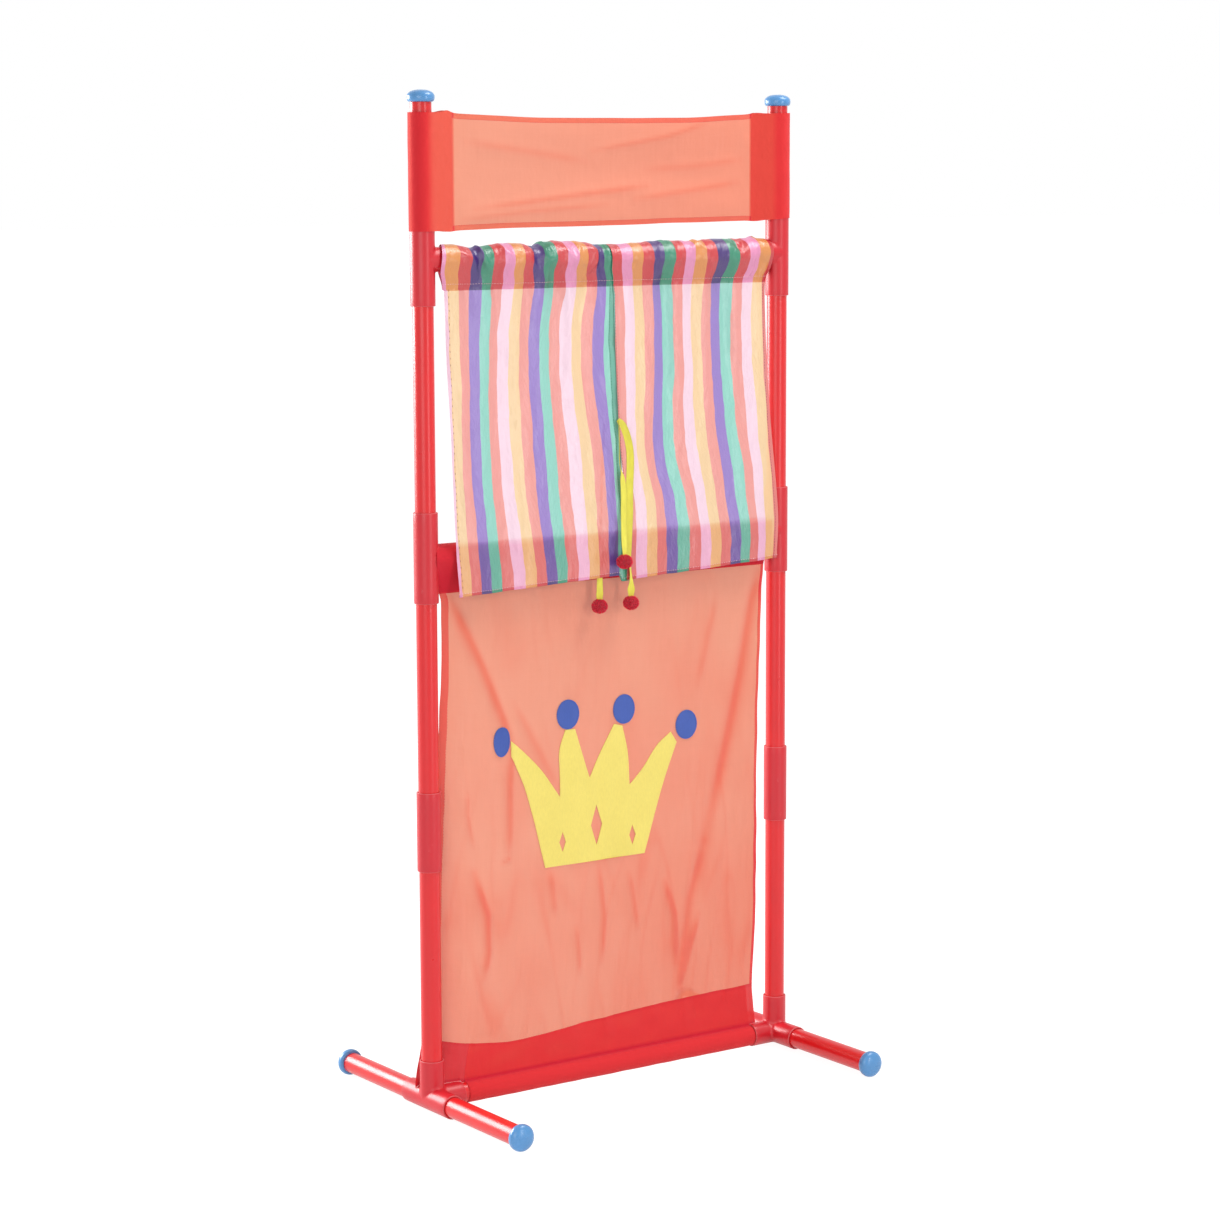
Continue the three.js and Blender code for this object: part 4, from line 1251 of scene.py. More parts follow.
def curtain_low(side, x):
    """Height of a curtain's low edge, whose left one dips at the slit"""
    if side == "left":
        rise = mix(-5, 5, 1 + x / POST_X) - 8.0 * ease((x - 3) / 4)
    else:
        rise = mix(-2, 10, x / POST_X)
    return CURTAIN_LOW + rise + 0.7 * rumple(x, 0, 22, 1, 2.6)


def hem_depth(side, share, z):
    """The leading hems: the left one is loose and wavy, the right one lies over it"""
    from_slit = (1 - share) * CURTAIN_WIDTH
    if side == "right":
        return -1.3 * hill(from_slit, 13)
    wave = math.sin(z / 13 + 2.5 * rumple(0, z, 1, 40, 8.8))
    return 0.5 * hill(from_slit, 13) + 1.1 * hill(from_slit - 6, 6) * wave


def curtain_front(side, share, z):
    """A point of the cloth that hangs below the seam"""
    x = curtain_x(side, share, z)
    fade = ease((CURTAIN_SEAM - z) / 40)
    hem = hem_depth(side, share, z) * (fade if side == "left" else 1)
    return x, curtain_depth(z) + curtain_fold(x, z) - LOOP_SEAM + hem, z


def tunnel_puff(x, z, height, front):
    """How far the gathered tunnel stands off its round, at a height over the rod's axis"""
    up = clamp((height + TUNNEL_DROP) / (TUNNEL_DROP + SLEEVE_RADIUS))
    place = x if front else -x + BACK_SHIFT
    puff = through(TUNNEL_PUFFS, x) * math.sin(math.pi * up**0.8 * 0.62)
    puff += 1.35 * crease_sum(TUNNEL_CREASES, place, z) + 1.2 * rumple(place, z, 11, 50, 5.1)
    end = ease((POST_X - 15 - abs(x)) / 8)
    return max(puff * end * ease(up * 6), -0.5 - 5 * (1 - up))


def tunnel_point(side, share, depth, height, sag):
    z = ROD_Z + height
    x = curtain_x(side, share, z)
    out = Vector((depth, height + sag)).normalized()
    puff = tunnel_puff(x, z, height, depth < 0)
    hang = clamp(-height / TUNNEL_DROP)
    y = depth + out.x * puff + curtain_fold(x, CURTAIN_SEAM) * hang
    if side == "right" and depth < 0:
        y += hem_depth(side, share, z)
    return x + end_tuck(x, depth), y, z + max(out.y, -0.2) * puff


def tunnel_path(side, share):
    sag = sag_along_bar(curtain_x(side, share, ROD_Z))
    path = loop_path(SLEEVE_RADIUS + CLOTH / 2, TUNNEL_DROP, sag, SEAM_FORWARD)
    return [tunnel_point(side, share, depth, height, sag) for depth, height in path]


def curtain_column(side, share, low_hem):
    """The way of the cloth at one share across: over the rod, down, and round its low hem"""
    low = curtain_low(side, curtain_x(side, share, CURTAIN_LOW))
    heights = [mix(CURTAIN_SEAM - SEAM_STEP, low + low_hem, t) for t in even(FALL_ROWS)]
    heights += [mix(low + low_hem, low + HEM_TURN, t) for t in even(2)[1:]]
    column = tunnel_path(side, share)
    column += [curtain_front(side, share, z) for z in heights]
    x, y, _ = curtain_front(side, share, low)
    for angle in (math.radians(degrees) for degrees in (45, 90, 135, 180)):
        column.append((x, y + HEM_TURN * (1 - math.cos(angle)),
                       low + HEM_TURN * (1 - math.sin(angle))))
    x, y, _ = curtain_front(side, share, low + low_hem)
    column.append((x, y + 0.7, low + low_hem))
    return column


def painted_bar_shade(point):
    """Painted shade where the red crossbar lies behind the curtains"""
    x, _, z = point
    return BAR_SHADE * ease((BAR_Z + 19 - z) / 9) * ease((CURTAIN_WIDTH - abs(x)) / 8 + 1)


def curtain_hems(side):
    """Widths of a curtain's flat cloth, its outer hem and its leading hem, in millimetres"""
    outer, lead = STRIPES_FROM[side]
    cloth = sizes_of("cloth")
    leading = cloth.leading_hem if side == "left" else cloth.side_hem
    return abs(outer - lead), cloth.side_hem / MM, leading / MM


def make_curtains():
    low_hem = sizes_of("cloth").low_hem / MM
    seam_row = LOOP_ROWS + 1
    hem_row = seam_row + FALL_ROWS
    for side in SIDES:
        width, outer_hem, lead = curtain_hems(side)
        stops = with_marks(0.0, width, CURTAIN_CELL, outer_hem, width - lead)
        columns = [curtain_column(side, stop / width, low_hem) for stop in stops]
        start, end = STRIPES_FROM[side]
        across = [mix(start, end, stop / width) for stop in stops]
        first, last = stops.index(outer_hem), stops.index(width - lead)
        if side == "right":
            columns.reverse()
            across.reverse()
            first, last = len(stops) - 1 - last, len(stops) - 1 - first
        outer_layers, lead_layers = SIDE_HEM_LAYERS[side]

        def layers(i, j):
            if j < seam_row:
                return 1.0
            if j >= hem_row:
                return LOW_HEM_LAYERS
            return outer_layers if i < first else lead_layers if i >= last else 0.0

        def mark(i, j, point):
            # Painted shade where the crossbar lies behind
            return painted_bar_shade(point) if j >= seam_row else 0.0

        piece = cloth_object(f"{side}_curtain_cloth", columns, across, layers, mark)
        settle(piece, "stand", "striped_satin", "stripe_satin",
               f"{side}_curtain", f"{side}_curtain_leading_hem")
        gather(piece, side)


# Where each curtain gathers at its post when its leading edge slides, in metres, and the share
# of its width that it keeps
GATHERS = {"left": (-0.2464, 0.302), "right": (0.2444, 0.317)}


def gather(piece, side):
    anchor, keep = GATHERS[side]
    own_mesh(piece)


# Front panel

PANEL_TOP = BAR_Z - 44.0
PANEL_WIDTH = 520.0
PANEL_INSET = 30.0
# How far each side edge stands in from its post, as shares of PANEL_INSET by share of the height
PANEL_EDGES = {
    -1: [(0, -0.37), (0.06, -0.37), (0.16, 0.04), (0.325, 0.33), (0.49, 0.47), (0.61, 0.55),
         (0.77, 0.64), (0.85, 0.67), (0.985, 0.65), (1.0, 0.58), (1.03, 0.5), (1.07, 0.45)],
    1: [(0, 1.03), (0.05, 1.05), (0.1, 1.18), (0.135, 1.23), (0.27, 1.1), (0.46, 1.05),
        (0.64, 1), (0.82, 0.89), (1, 0.69)],
}
# Height of the bottom band over its bar, and the shares of it at which its top seam lies, by
# place as a share of the post's
BAND_HEIGHT = 60.0
BAND_TOPS = [(-0.98, 1.12), (-0.72, 0.94), (-0.55, 0.87), (-0.15, 0.98), (0.4, 1.1), (0.86, 1.14)]
# Between these places the band has its tunnel. Left of the first the sheet runs back round the
# post, over FLAP_WIDTH to FLAP_DEPTH
FLAP_ROOT = -(POST_X - 50.0)
CORNER_ROOT = POST_X - 41.0
FLAP_WIDTH = 52.0
FLAP_DEPTH = 20.0
# Under this height the sheet's depth stays the same
LOW_LEVEL = 60.0
# Radius of the bottom tunnel, how far over it the band ends, and between which turns the tunnel
# goes round the bottom bar, in degrees
BAND_ROLL = 13.4
BAND_GAP = 0.9
ROLL_TURNS = (96, 444)
# Rows of the sheet, of the bottom band, round the bottom tunnel and back up behind the band
SHEET_ROWS = 150
BAND_ROWS = 10
ROLL_ROWS = 28
BACK_ROWS = 8
# Layers of cloth in the top tunnel, the bottom band, its part beside the left post and the hems
# Values over 1 add painted shade: inside the top tunnel, and on the part tucked behind the left
# post
TUNNEL_LAYERS_AND_SHADE = 1.2
BAND_LAYERS = 1.0
FLAP_LAYERS_AND_SHADE = 1.22
PANEL_HEM_LAYERS = 0.72
# Soft creases as a line of places (x, z), a share of the deepest crease and a width
PANEL_CREASES = [
    ((-232, 627), (-211, 585), (-187, 537), (-158, 472), (-144, 433), 1.0, 9),
    ((-144, 433), (-148, 383), (-149, 298), 0.75, 7),
    ((240, 625), (226, 587), (206, 491), (186, 410), (150, 283), -0.9, 11),
    ((150, 283), (125, 210), (109, 103), -0.6, 9),
    ((166, 595), (137, 487), 0.4, 8),
    ((-140, 489), (-77, 375), 0.45, 8),
    ((-200, 286), (-183, 233), (-181, 186), (-187, 155), 0.9, 7),
    ((-89, 272), (-82, 219), 0.5, 6),
    ((-51, 199), (-44, 139), 0.45, 5),
    ((-17, 275), (-9, 209), (-12, 150), 0.6, 6),
    ((30, 256), (42, 186), 0.5, 5),
    ((85, 239), (99, 194), (101, 131), 0.8, 6),
    ((138, 189), (105, 97), 0.7, 6),
    ((-207, 384), (-209, 359), (-200, 317), 0.45, 4),
    ((-148, 298), (-160, 293), 0.4, 4),
]


def panel_edge(sign, z):
    """Place of the panel's left (-1) or right (1) edge at a height"""
    inset = PANEL_INSET * through(PANEL_EDGES[sign], z / PANEL_TOP)
    return sign * (POST_X - inset) + 0.8 * rumple(0, z, 1, 30, 5.5 + sign)


def panel_share(x, z):
    """The place on the flat cloth that lies at x at a height"""
    left, right = panel_edge(-1, z), panel_edge(1, z)
    return PANEL_WIDTH * (x - left) / (right - left)


def band_top(x):
    return FOOT_Z + BAND_HEIGHT * through(BAND_TOPS, x / POST_X)


def ridge(x, z, x_size, z_size, seed):
    """Thin wandering ridges"""
    return hill(rumple(x, z, x_size, z_size, seed), 0.1) * clamp(0.6 + rumple(z, x, 90, 60, seed))


def panel_wrinkles(x, z):
    """Share of the small upright wrinkles, most of them low on the panel"""
    lower = ease((440 - z) / 240)
    lean = x + 0.12 * z
    return (0.35 + 0.65 * lower) * (0.6 * ridge(lean, z, 42, 230, 1.1)
                                    + 0.4 * ridge(lean - 0.3 * z, z, 30, 150, 6.6))


def panel_depth(x, z):
    """Depth of the sheet: soft creases, and a left margin that runs back round the post"""
    fade = clamp(min(1, (PANEL_TOP - z) / 21, (z - FOOT_Z) / BAND_HEIGHT))
    folds = sizes_of("cloth").crease / MM * crease_sum(PANEL_CREASES, x, z)
    lower = ease((420 - z) / 240)
    drape = 2.0 * rumple(x, z, 34, 190, 1.1) * (0.4 + 0.9 * lower)
    drape += 1.3 * panel_wrinkles(x, z) + 0.5 * rumple(x, z, 12, 70, 9.2)
    back = ease((1 - z / PANEL_TOP) * 2) * FLAP_DEPTH * ease((FLAP_ROOT - x) / FLAP_WIDTH)
    return -(folds + drape) * fade + back


# Distance of the cloth from the bar or fitting that it ends on, and from the left post's axis
CLOTH_OFF_BASE = 0.35
CLOTH_ROUND_POST = 15.6


def base_top(x, y):
    """Height of the bottom bar or base fitting under a place of the cloth, over their axis"""
    at_socket = ease((abs(x) - SOCKET_END) / 1.5 + 0.5)
    radius = CLOTH_OFF_BASE + mix(TUBE_RADIUS, FITTING_RADIUS, at_socket)
    bar = math.sqrt(max(radius**2 - y**2, 0))
    foot = math.sqrt(max(radius**2 - (abs(x) - POST_X) ** 2, 0))
    return max(bar, foot) + 1.2 * hill(bar - foot, 5)


def low_end(x, y):
    """Depth and height at which the cloth beside the bottom tunnel ends on the fitting"""
    if x > -POST_X:
        round_post = math.sqrt(max(CLOTH_ROUND_POST**2 - (x + POST_X) ** 2, 0))
        y = min(y, max(3.0, round_post + 0.4))
    return y, FOOT_Z + base_top(x, y)


def panel_column(x_at, has_tunnel):
    """The way of the cloth at one share across: over the crossbar, down, and for the bottom
    tunnel round the bottom crossbar and up to the band's seam"""
    column = []
    sag = sag_along_bar(x_at(BAR_Z))
    for depth, height in loop_path(SLEEVE_RADIUS + CLOTH / 2, BAR_Z - PANEL_TOP, sag):
        x = x_at(BAR_Z + min(height, 0))
        column.append((x + end_tuck(x, depth), depth, BAR_Z + height))
    seam = band_top(x_at(LOW_LEVEL))
    for share in even(SHEET_ROWS)[1:]:
        z = mix(PANEL_TOP, seam, share)
        x = x_at(z)
        column.append((x, panel_depth(x, z) - LOOP_SEAM, z))
    y_low, low = 0.0, FOOT_Z + BAND_ROLL + BAND_GAP
    if not has_tunnel:
        y_low, low = low_end(x_at(FOOT_Z + 15), panel_depth(x_at(LOW_LEVEL), LOW_LEVEL))
    for share in even(BAND_ROWS)[1:]:
        z = mix(seam, low, share)
        x = x_at(z)
        y = mix(panel_depth(x, max(z, LOW_LEVEL)), y_low, share if has_tunnel else ease(share))
        wave = 0.9 * rumple(x, z, 26, 18, 4.4) * math.sin(math.pi * share)
        column.append((x, y - LOOP_SEAM + wave, z))
    if not has_tunnel:
        return column
    x = x_at(FOOT_Z)
    for share in even(ROLL_ROWS):
        angle = math.radians(mix(*ROLL_TURNS, share))
        roll = BAND_ROLL + 0.35 * rumple(x, 90 * share, 20, 30, 2.2) * math.sin(math.pi * share)
        column.append((x, roll * math.cos(angle), FOOT_Z + roll * math.sin(angle)))
    for share in even(BACK_ROWS):
        z = mix(low, seam - 1.0, share)
        x = x_at(z)
        column.append((x, mix(BAND_GAP, panel_depth(x, seam) + 0.7, share), z))
    return column


def sheet_shade_and_tone(creases, x, z):
    """Tone of the panel's single sheet: painted shade along its creases and wrinkles, deeper
    towards the bottom and the lower right, and soft random clouds
    """
    cloud = 0.1 * ease((440 - z) / 300) + 0.12 * rumple(x, z, 55, 90, 3.9)
    cloud += 0.14 * ease((x + 100) / 240) * ease((600 - z) / 200)
    return clamp(crease_sum(creases, x, z) + 0.25 * panel_wrinkles(x, z) + cloud, 0.0, 0.6)


def make_front_panel():
    cloth = sizes_of("cloth")
    cell, wide_hem, hem = cloth.cell / MM, cloth.panel_left_hem / MM, cloth.panel_hem / MM
    root, corner = panel_share(FLAP_ROOT, LOW_LEVEL), panel_share(CORNER_ROOT, FOOT_Z)
    stops = with_marks(0.0, PANEL_WIDTH, cell, wide_hem, root, corner, PANEL_WIDTH - hem)
    flap_column, corner_column = stops.index(root), stops.index(corner)
    columns = []
    for i, stop in enumerate(stops):
        def x_at(z):
            return mix(panel_edge(-1, z), panel_edge(1, z), stop / PANEL_WIDTH)

        columns.append(panel_column(x_at, flap_column <= i <= corner_column))
    left_hem, right_hem = stops.index(wide_hem), stops.index(PANEL_WIDTH - hem)
    band_row = LOOP_ROWS + SHEET_ROWS
    roll_row = band_row + BAND_ROWS

    def layers(i, j):
        if j < LOOP_ROWS:
            return TUNNEL_LAYERS_AND_SHADE
        if j >= band_row:
            return BAND_LAYERS if i >= flap_column else FLAP_LAYERS_AND_SHADE
        return PANEL_HEM_LAYERS if i < left_hem or i >= right_hem else 0.0

    painted_creases = [(*line, 0.5 * abs(depth), 0.75 * wide) for *line, depth, wide in PANEL_CREASES]

    def mark(i, j, point):
        x, _, z = point
        if j < LOOP_ROWS:
            # Painted shade inside the top tunnel, deepest towards its seam under the crossbar
            return 0.3 * (1 - clamp((z - PANEL_TOP) / 60)) + 0.1
        if j <= band_row:
            return sheet_shade_and_tone(painted_creases, x, z)
        if j < roll_row:
            return 0.06 * rumple(x, z, 40, 20, 2.8)
        # Painted shadow in the crease where the band meets the bottom roll, and painted shade over
        # the bar
        if j < roll_row + ROLL_ROWS + 2:
            return 0.5 * hill(j - roll_row - 0.5, 1.6) + 0.1
        return 0.0

    piece = cloth_object("front_panel_cloth", columns, stops, layers, mark)
    settle(piece, "stand", "coral_cloth", "coral_voile", "front_panel")


# Crown of felt

CROWN_WIDTH = 256.0
CROWN_HEIGHT = 172.0
CROWN_X = -22.0
CROWN_BASE = (PANEL_TOP + FOOT_Z + BAND_HEIGHT - CROWN_HEIGHT) / 2 + 12.0
# The outline as smooth runs between its corners, in shares of the crown's width and height
CROWN_RUNS = [
    [(-0.345, 0.32), (-0.29, 0)], [(-0.29, 0), (0.29, 0)],
    [(0.29, 0), (0.36, 0.3), (0.42, 0.55), (0.49, 0.79)], [(0.49, 0.79), (0.455, 0.87)],
    [(0.455, 0.87), (0.37, 0.78), (0.28, 0.62), (0.205, 0.52)],
    [(0.205, 0.52), (0.195, 0.76), (0.165, 0.96)], [(0.165, 0.96), (0.115, 0.98)],
    [(0.115, 0.98), (0.04, 0.8), (-0.03, 0.61)],
    [(-0.03, 0.61), (-0.075, 0.8), (-0.115, 0.98)], [(-0.115, 0.98), (-0.17, 0.98)],
    [(-0.17, 0.98), (-0.205, 0.84), (-0.205, 0.68), (-0.205, 0.5)],
    [(-0.205, 0.5), (-0.31, 0.71), (-0.41, 0.86), (-0.485, 0.95)], [(-0.485, 0.95), (-0.485, 0.84)],
    [(-0.485, 0.84), (-0.41, 0.62), (-0.345, 0.32)],
]
# Middle and half size of each cut-out, and place and half width of each ball
CROWN_DIAMONDS = [((-0.19, 0.17), (0.019, 0.075)), ((0.01, 0.26), (0.034, 0.15)),
                  ((0.22, 0.15), (0.019, 0.075))]
CROWN_BALLS = [((-0.535, 0.95), 11.0), ((-0.155, 1.09), 16.5), ((0.175, 1.08), 16.5),
               ((0.55, 0.91), 16.5)]
BALL_HALF_HEIGHT = 18.5
BALL_SIDES = 40
# Distance of the felt from the panel, of its inner points from each other and from its outline,
# and of the seams from the outlines
FELT_LIFT = 0.35
FELT_CELL = 3.6
FELT_MARGIN = 1.6
CROWN_SEAM = 1.8
BALL_SEAM = 1.6


def crown_place(share):
    return Vector((CROWN_X + share[0] * CROWN_WIDTH, CROWN_BASE + share[1] * CROWN_HEIGHT))


def smooth_line(points, steps):
    """A curve through points, without its last one"""
    whole = [points[0] * 2 - points[1], *points, points[-1] * 2 - points[-2]]
    line = []
    for i in range(1, len(whole) - 2):
        before, start, end, after = whole[i - 1:i + 3]
        for t in even(steps)[:-1]:
            line.append(0.5 * (2 * start + (end - before) * t
                               + (2 * before - 5 * start + 4 * end - after) * t**2
                               + (3 * start - before - 3 * end + after) * t**3))
    return line


def crown_outline():
    outline = []
    for run in CROWN_RUNS:
        outline += smooth_line([crown_place(share) for share in run], 6)
    return outline


def crown_diamonds():
    holes = []
    for middle, (wide, tall) in CROWN_DIAMONDS:
        tips = [crown_place((middle[0] + a * wide, middle[1] + b * tall))
                for a, b in ((0, 1), (1, 0), (0, -1), (-1, 0))]
        holes.append([mix(tips[i], tips[(i + 1) % 4], t)
                      for i in range(4) for t in even(4)[:-1]])
    return holes


def ball_outline(i, inset=0.0):
    share, half_width = CROWN_BALLS[i]
    middle = crown_place(share)
    turns = [2 * math.pi * share for share in even(BALL_SIDES)[:-1]]
    return [middle + Vector(((half_width - inset) * math.cos(turn),
                             (BALL_HALF_HEIGHT - inset) * math.sin(turn))) for turn in turns]


def inside(place, outline):
    crossed = False
    for start, end in zip(outline, outline[1:] + outline[:1]):
        if (start.y > place.y) != (end.y > place.y):
            if place.x < start.x + (end.x - start.x) * (place.y - start.y) / (end.y - start.y):
                crossed = not crossed
    return crossed


def felt_object(name, outline, holes=()):
    """Felt cut to an outline with holes and laid on the panel, which it follows"""
    thickness = sizes_of("trim").felt / MM
    rings = [outline, *holes]
    places, edges = [], []
    for ring in rings:
        start = len(places)
        places += ring
        edges += [(start + k, start + (k + 1) % len(ring)) for k in range(len(ring))]
    low = Vector((min(p.x for p in outline), min(p.y for p in outline)))
    high = Vector((max(p.x for p in outline), max(p.y for p in outline)))
    for a in range(1, int((high.x - low.x) / FELT_CELL)):
        for b in range(1, int((high.y - low.y) / FELT_CELL)):
            place = low + Vector((a, b)) * FELT_CELL
            near = min((place - other).length for ring in rings for other in ring)
            if near > FELT_MARGIN and inside(place, outline):
                if not any(inside(place, hole) for hole in holes):
                    places.append(place)
    found = geometry.delaunay_2d_cdt(places, edges, [], 0, 1e-6)
    places, triangles = found[0], []
    for corners in found[2]:
        middle = sum((places[c] for c in corners), Vector((0, 0))) / len(corners)
        if inside(middle, outline) and not any(inside(middle, hole) for hole in holes):
            triangles.append(tuple(corners))
    count = len(places)
    points = []
    for off in (FELT_LIFT + thickness, FELT_LIFT):
        for place in places:
            points.append((place.x, panel_depth(place.x, place.y) - LOOP_SEAM - off, place.y))
    seen = {(a, b) for t in triangles for a, b in zip(t, t[1:] + t[:1])}
    faces = triangles + [tuple(c + count for c in reversed(t)) for t in triangles]
    faces += [(b, a, a + count, b + count) for a, b in seen if (b, a) not in seen]
    piece = mesh_object(name, points, faces)
    reworked(piece.data, face_alike)
    return edged(piece, CUT_EDGE)


def make_crown():
    crown = felt_object("crown_felt", crown_outline(), crown_diamonds())
    settle(crown, "stand", "yellow_felt", "crown_felt", "crown")
    for i in range(len(CROWN_BALLS)):
        ball = felt_object(f"crown_ball_{i + 1}_felt", ball_outline(i))
        settle(ball, "stand", "blue_felt", "ball_felt", f"crown_ball_{i + 1}")


# Ribbon ties with pompoms

# Routes are places (x, depth, rise over the middle crossbar's axis), and rolls in degrees and
# widths as shares of the ribbon's go by the share of the way down
TIES = {
    "right_short": {
        "route": [(5, -17.2, 151), (3.6, -19.4, 127), (4, -20.2, 98), (6.8, -21, 83),
                  (8.2, -21.9, 66), (6.8, -24.2, 36), (4, -28.5, 9), (1.6, -33.4, -10)],
        "body": "right_tie", "length": 0.165, "seed": 3,
        "rolls": [(0, 60), (0.32, 55), (0.46, 12), (1, 4)],
        "widths": [(0, 0.35), (0.32, 0.35), (0.46, 0.95), (0.9, 0.9), (1, 0.7)],
    },
    "right_long": {
        "route": [(5, -15.8, 152), (11.4, -17.2, 144), (16.6, -17.8, 132), (20.2, -18.7, 115),
                  (20.4, -19.5, 97), (18.2, -20.8, 68), (16.8, -22.4, 35), (15, -23.2, 9),
                  (14.4, -23.4, -8), (17, -23.6, -34), (18, -23.8, -51), (18, -23.8, -63)],
        "body": "right_tie", "length": 0.22, "seed": 11,
        "rolls": [(0, -10), (0.1, -25), (0.7, -12), (0.8, 35), (0.86, 20), (0.92, -20), (1, -30)],
        "widths": [(0, 0.6), (0.06, 0.95), (0.7, 0.95), (0.78, 0.6), (0.88, 0.7), (0.94, 1),
                   (1, 0.7)],
    },
    "left": {
        "route": [(-10, -7.4, 148), (-15, -10, 96), (-22.4, -16.6, 26), (-24.2, -17.1, -2),
                  (-24.4, -17.1, -44), (-24.4, -17.1, -64.6)],
        "body": "left_tie", "length": 0.215, "seed": 7,
        "rolls": [(0, 0), (0.89, 0), (0.94, -25), (1, -35)],
        "widths": [(0, 0.4), (0.5, 0.5), (0.78, 0.95), (0.92, 1), (1, 0.75)],
    },
}
# Height of a ribbon's end over the middle of its pompom, and of the part inside the pompom
POMPOM_DROP = 10.3
TAIL_LENGTH = 2.4


def route_line(route):
    """Points along a tie, on the same centripetal curve as the solids"""
    knots = [Vector((x, y, BAR_Z + rise)) for x, y, rise in route]
    whole = [knots[0] * 2 - knots[1], *knots, knots[-1] * 2 - knots[-2]]
    line = []
    for i in range(1, len(whole) - 2):
        before, start, end, after = whole[i - 1:i + 3]
        past, span, next_span = ((b - a).length ** 0.5 for a, b in (
            (before, start), (start, end), (end, after)))
        pace = (end - start) / span
        leave = (start - before) / past - (end - before) / (past + span) + pace
        arrive = pace - (after - start) / (span + next_span) + (after - end) / next_span
        line += [hermite(start, end, leave * span, arrive * span, t) for t in even(8)[:-1]]
    return [*line, knots[-1]]


def ribbon_object(name, line, tie, width, thickness):
    """A flat ribbon along a line, which turns about it and gathers as its tie says"""
    across = [2 * share - 1 for share in even(6)]
    points, places, faces = [], [], []
    walked = 0.0
    for j, place in enumerate(line):
        share = j / (len(line) - 1)
        if j:
            walked += (place - line[j - 1]).length
        ahead = (line[min(j + 1, len(line) - 1)] - line[max(j - 1, 0)]).normalized()
        roll = math.radians(through(tie["rolls"], share))
        side = Vector((math.cos(roll), math.sin(roll), 0))
        side = (side - ahead * side.dot(ahead)).normalized()
        front = side.cross(ahead)
        half = width / 2 * through(tie["widths"], share)
        curl = 0.5 + 0.5 * noise.noise(Vector((share * 9, tie["seed"], 0)))
        for off in (thickness / 2, -thickness / 2):
            for step in across:
                cup = curl * (1 - step * step)
                points.append(place + side * step * half + front * (off + cup - 0.5))
                places.append(((step + 1) * width / 2 * MM, walked * MM))
    row = 2 * len(across)
    ring = list(range(len(across))) + list(range(row - 1, len(across) - 1, -1))
    for j in range(len(line) - 1):
        for a, b in zip(ring, ring[1:] + ring[:1]):
            faces.append((j * row + a, j * row + b, (j + 1) * row + b, (j + 1) * row + a))
    faces.append(tuple(reversed(ring)))
    faces.append(tuple((len(line) - 1) * row + a for a in ring))
    piece = mesh_object(name, points, faces)
    lay_flat(piece.data, places)
    reworked(piece.data, turn_outwards)
    return edged(piece, CUT_EDGE)


def make_ties():
    trim = sizes_of("trim")
    tree = pompom_growth()
    for name, tie in TIES.items():
        line = route_line(tie["route"])
        tail = line[-1] - Vector((0, 0, TAIL_LENGTH))
        pompom = grown(f"{name}_tie_yarn_ball", blank(name), tree, {
            "Radius": trim.pompom_radius, "Yarn Length": trim.yarn_length,
            "Yarn Width": trim.yarn_width, "Yarn Gap": trim.yarn_gap,
            "Seed": tie["seed"], "Material": finish_named("wool_yarn"),
        })
        hung = Matrix.Translation((line[-1] - Vector((0, 0, POMPOM_DROP))) * MM)
        pompom.data.transform(hung @ Matrix.Diagonal((1, 1, trim.pompom_squash, 1)))
        settle(pompom, tie["body"], "red_pompom", None, f"{name}_tie_pompom")
        ribbon = ribbon_object(f"{name}_tie_strip", [*line, tail], tie, trim.ribbon_width / MM,
                               trim.ribbon_thickness / MM)
        settle(ribbon, tie["body"], "yellow_ribbon", "ribbed_ribbon", f"{name}_tie_ribbon")


# Stitches


def seam_source(name, seams):
    """An object whose edges run along each seam, given as points in millimetres"""
    points, edges = [], []
    for seam in seams:
        start = len(points)
        points += seam
        edges += [(k, k + 1) for k in range(start, len(points) - 1)]
    return mesh_object(name, points, [], edges)


def sew(name, seams, tree, finish, slot, seed, pitch=1.0):
    """Stitches of one thread along seams. pitch is in shares of the usual one"""
    trim = sizes_of("trim")
    piece = grown(name, seam_source(name, seams), tree, {
        "Pitch": trim.stitch_pitch * pitch, "Stitch Length": trim.stitch_length,
        "Thread Width": trim.thread, "Seed": seed, "Material": finish_named(finish),
    })
    return settle(piece, "stand", slot, None)


# Points along a seam, distance of a curtain's stitches from its front, height of the low seam
# over the low edge, and distance of the right curtain's last stitches from its leading edge
SEAM_POINTS = 120
STITCH_LIFT = 0.2
LOW_SEAM = 4.0
EDGE_SEAM = 1.2


def lifted(point):
    x, y, z = point
    return x, y - STITCH_LIFT, z


def curtain_seam(side, share):
    """A seam down a curtain, at a share from its outer edge"""
    return [lifted(curtain_front(side, share, mix(CURTAIN_SEAM - 1, CURTAIN_LOW + 8, t)))
            for t in even(90)]


def sew_curtains(tree):
    for side in SIDES:
        width, outer_hem, lead = curtain_hems(side)
        rod_seam, low_seam = [], []
        for t in even(SEAM_POINTS):
            rod_seam.append(lifted(tunnel_path(side, t)[-3]))
            low = curtain_low(side, curtain_x(side, t, CURTAIN_LOW))
            low_seam.append(lifted(curtain_front(side, t, low + LOW_SEAM)))
        outer = curtain_seam(side, (outer_hem - 1) / width)
        inner = curtain_seam(side, 1 - (lead - 1) / width)
        edge = curtain_seam(side, 1 - EDGE_SEAM / width)
        lines = [("pale", [rod_seam, low_seam], "pale_thread", "striped_satin", 5 + SIDES[side], 1)]
        if side == "left":
            lines += [("outer", [outer], "dark_thread", "striped_satin", 21, 2.2),
                      ("hem", [inner], "green_double", "green_hem", 23, 1)]
        else:
            lines += [("side", [outer, edge], "dark_thread", "striped_satin", 22, 1)]
        for name, seams, thread, slot, seed, pitch in lines:
            piece = sew(f"{side}_curtain_{name}_stitches", seams, tree, thread, slot, seed, pitch)
            gather(piece, side)


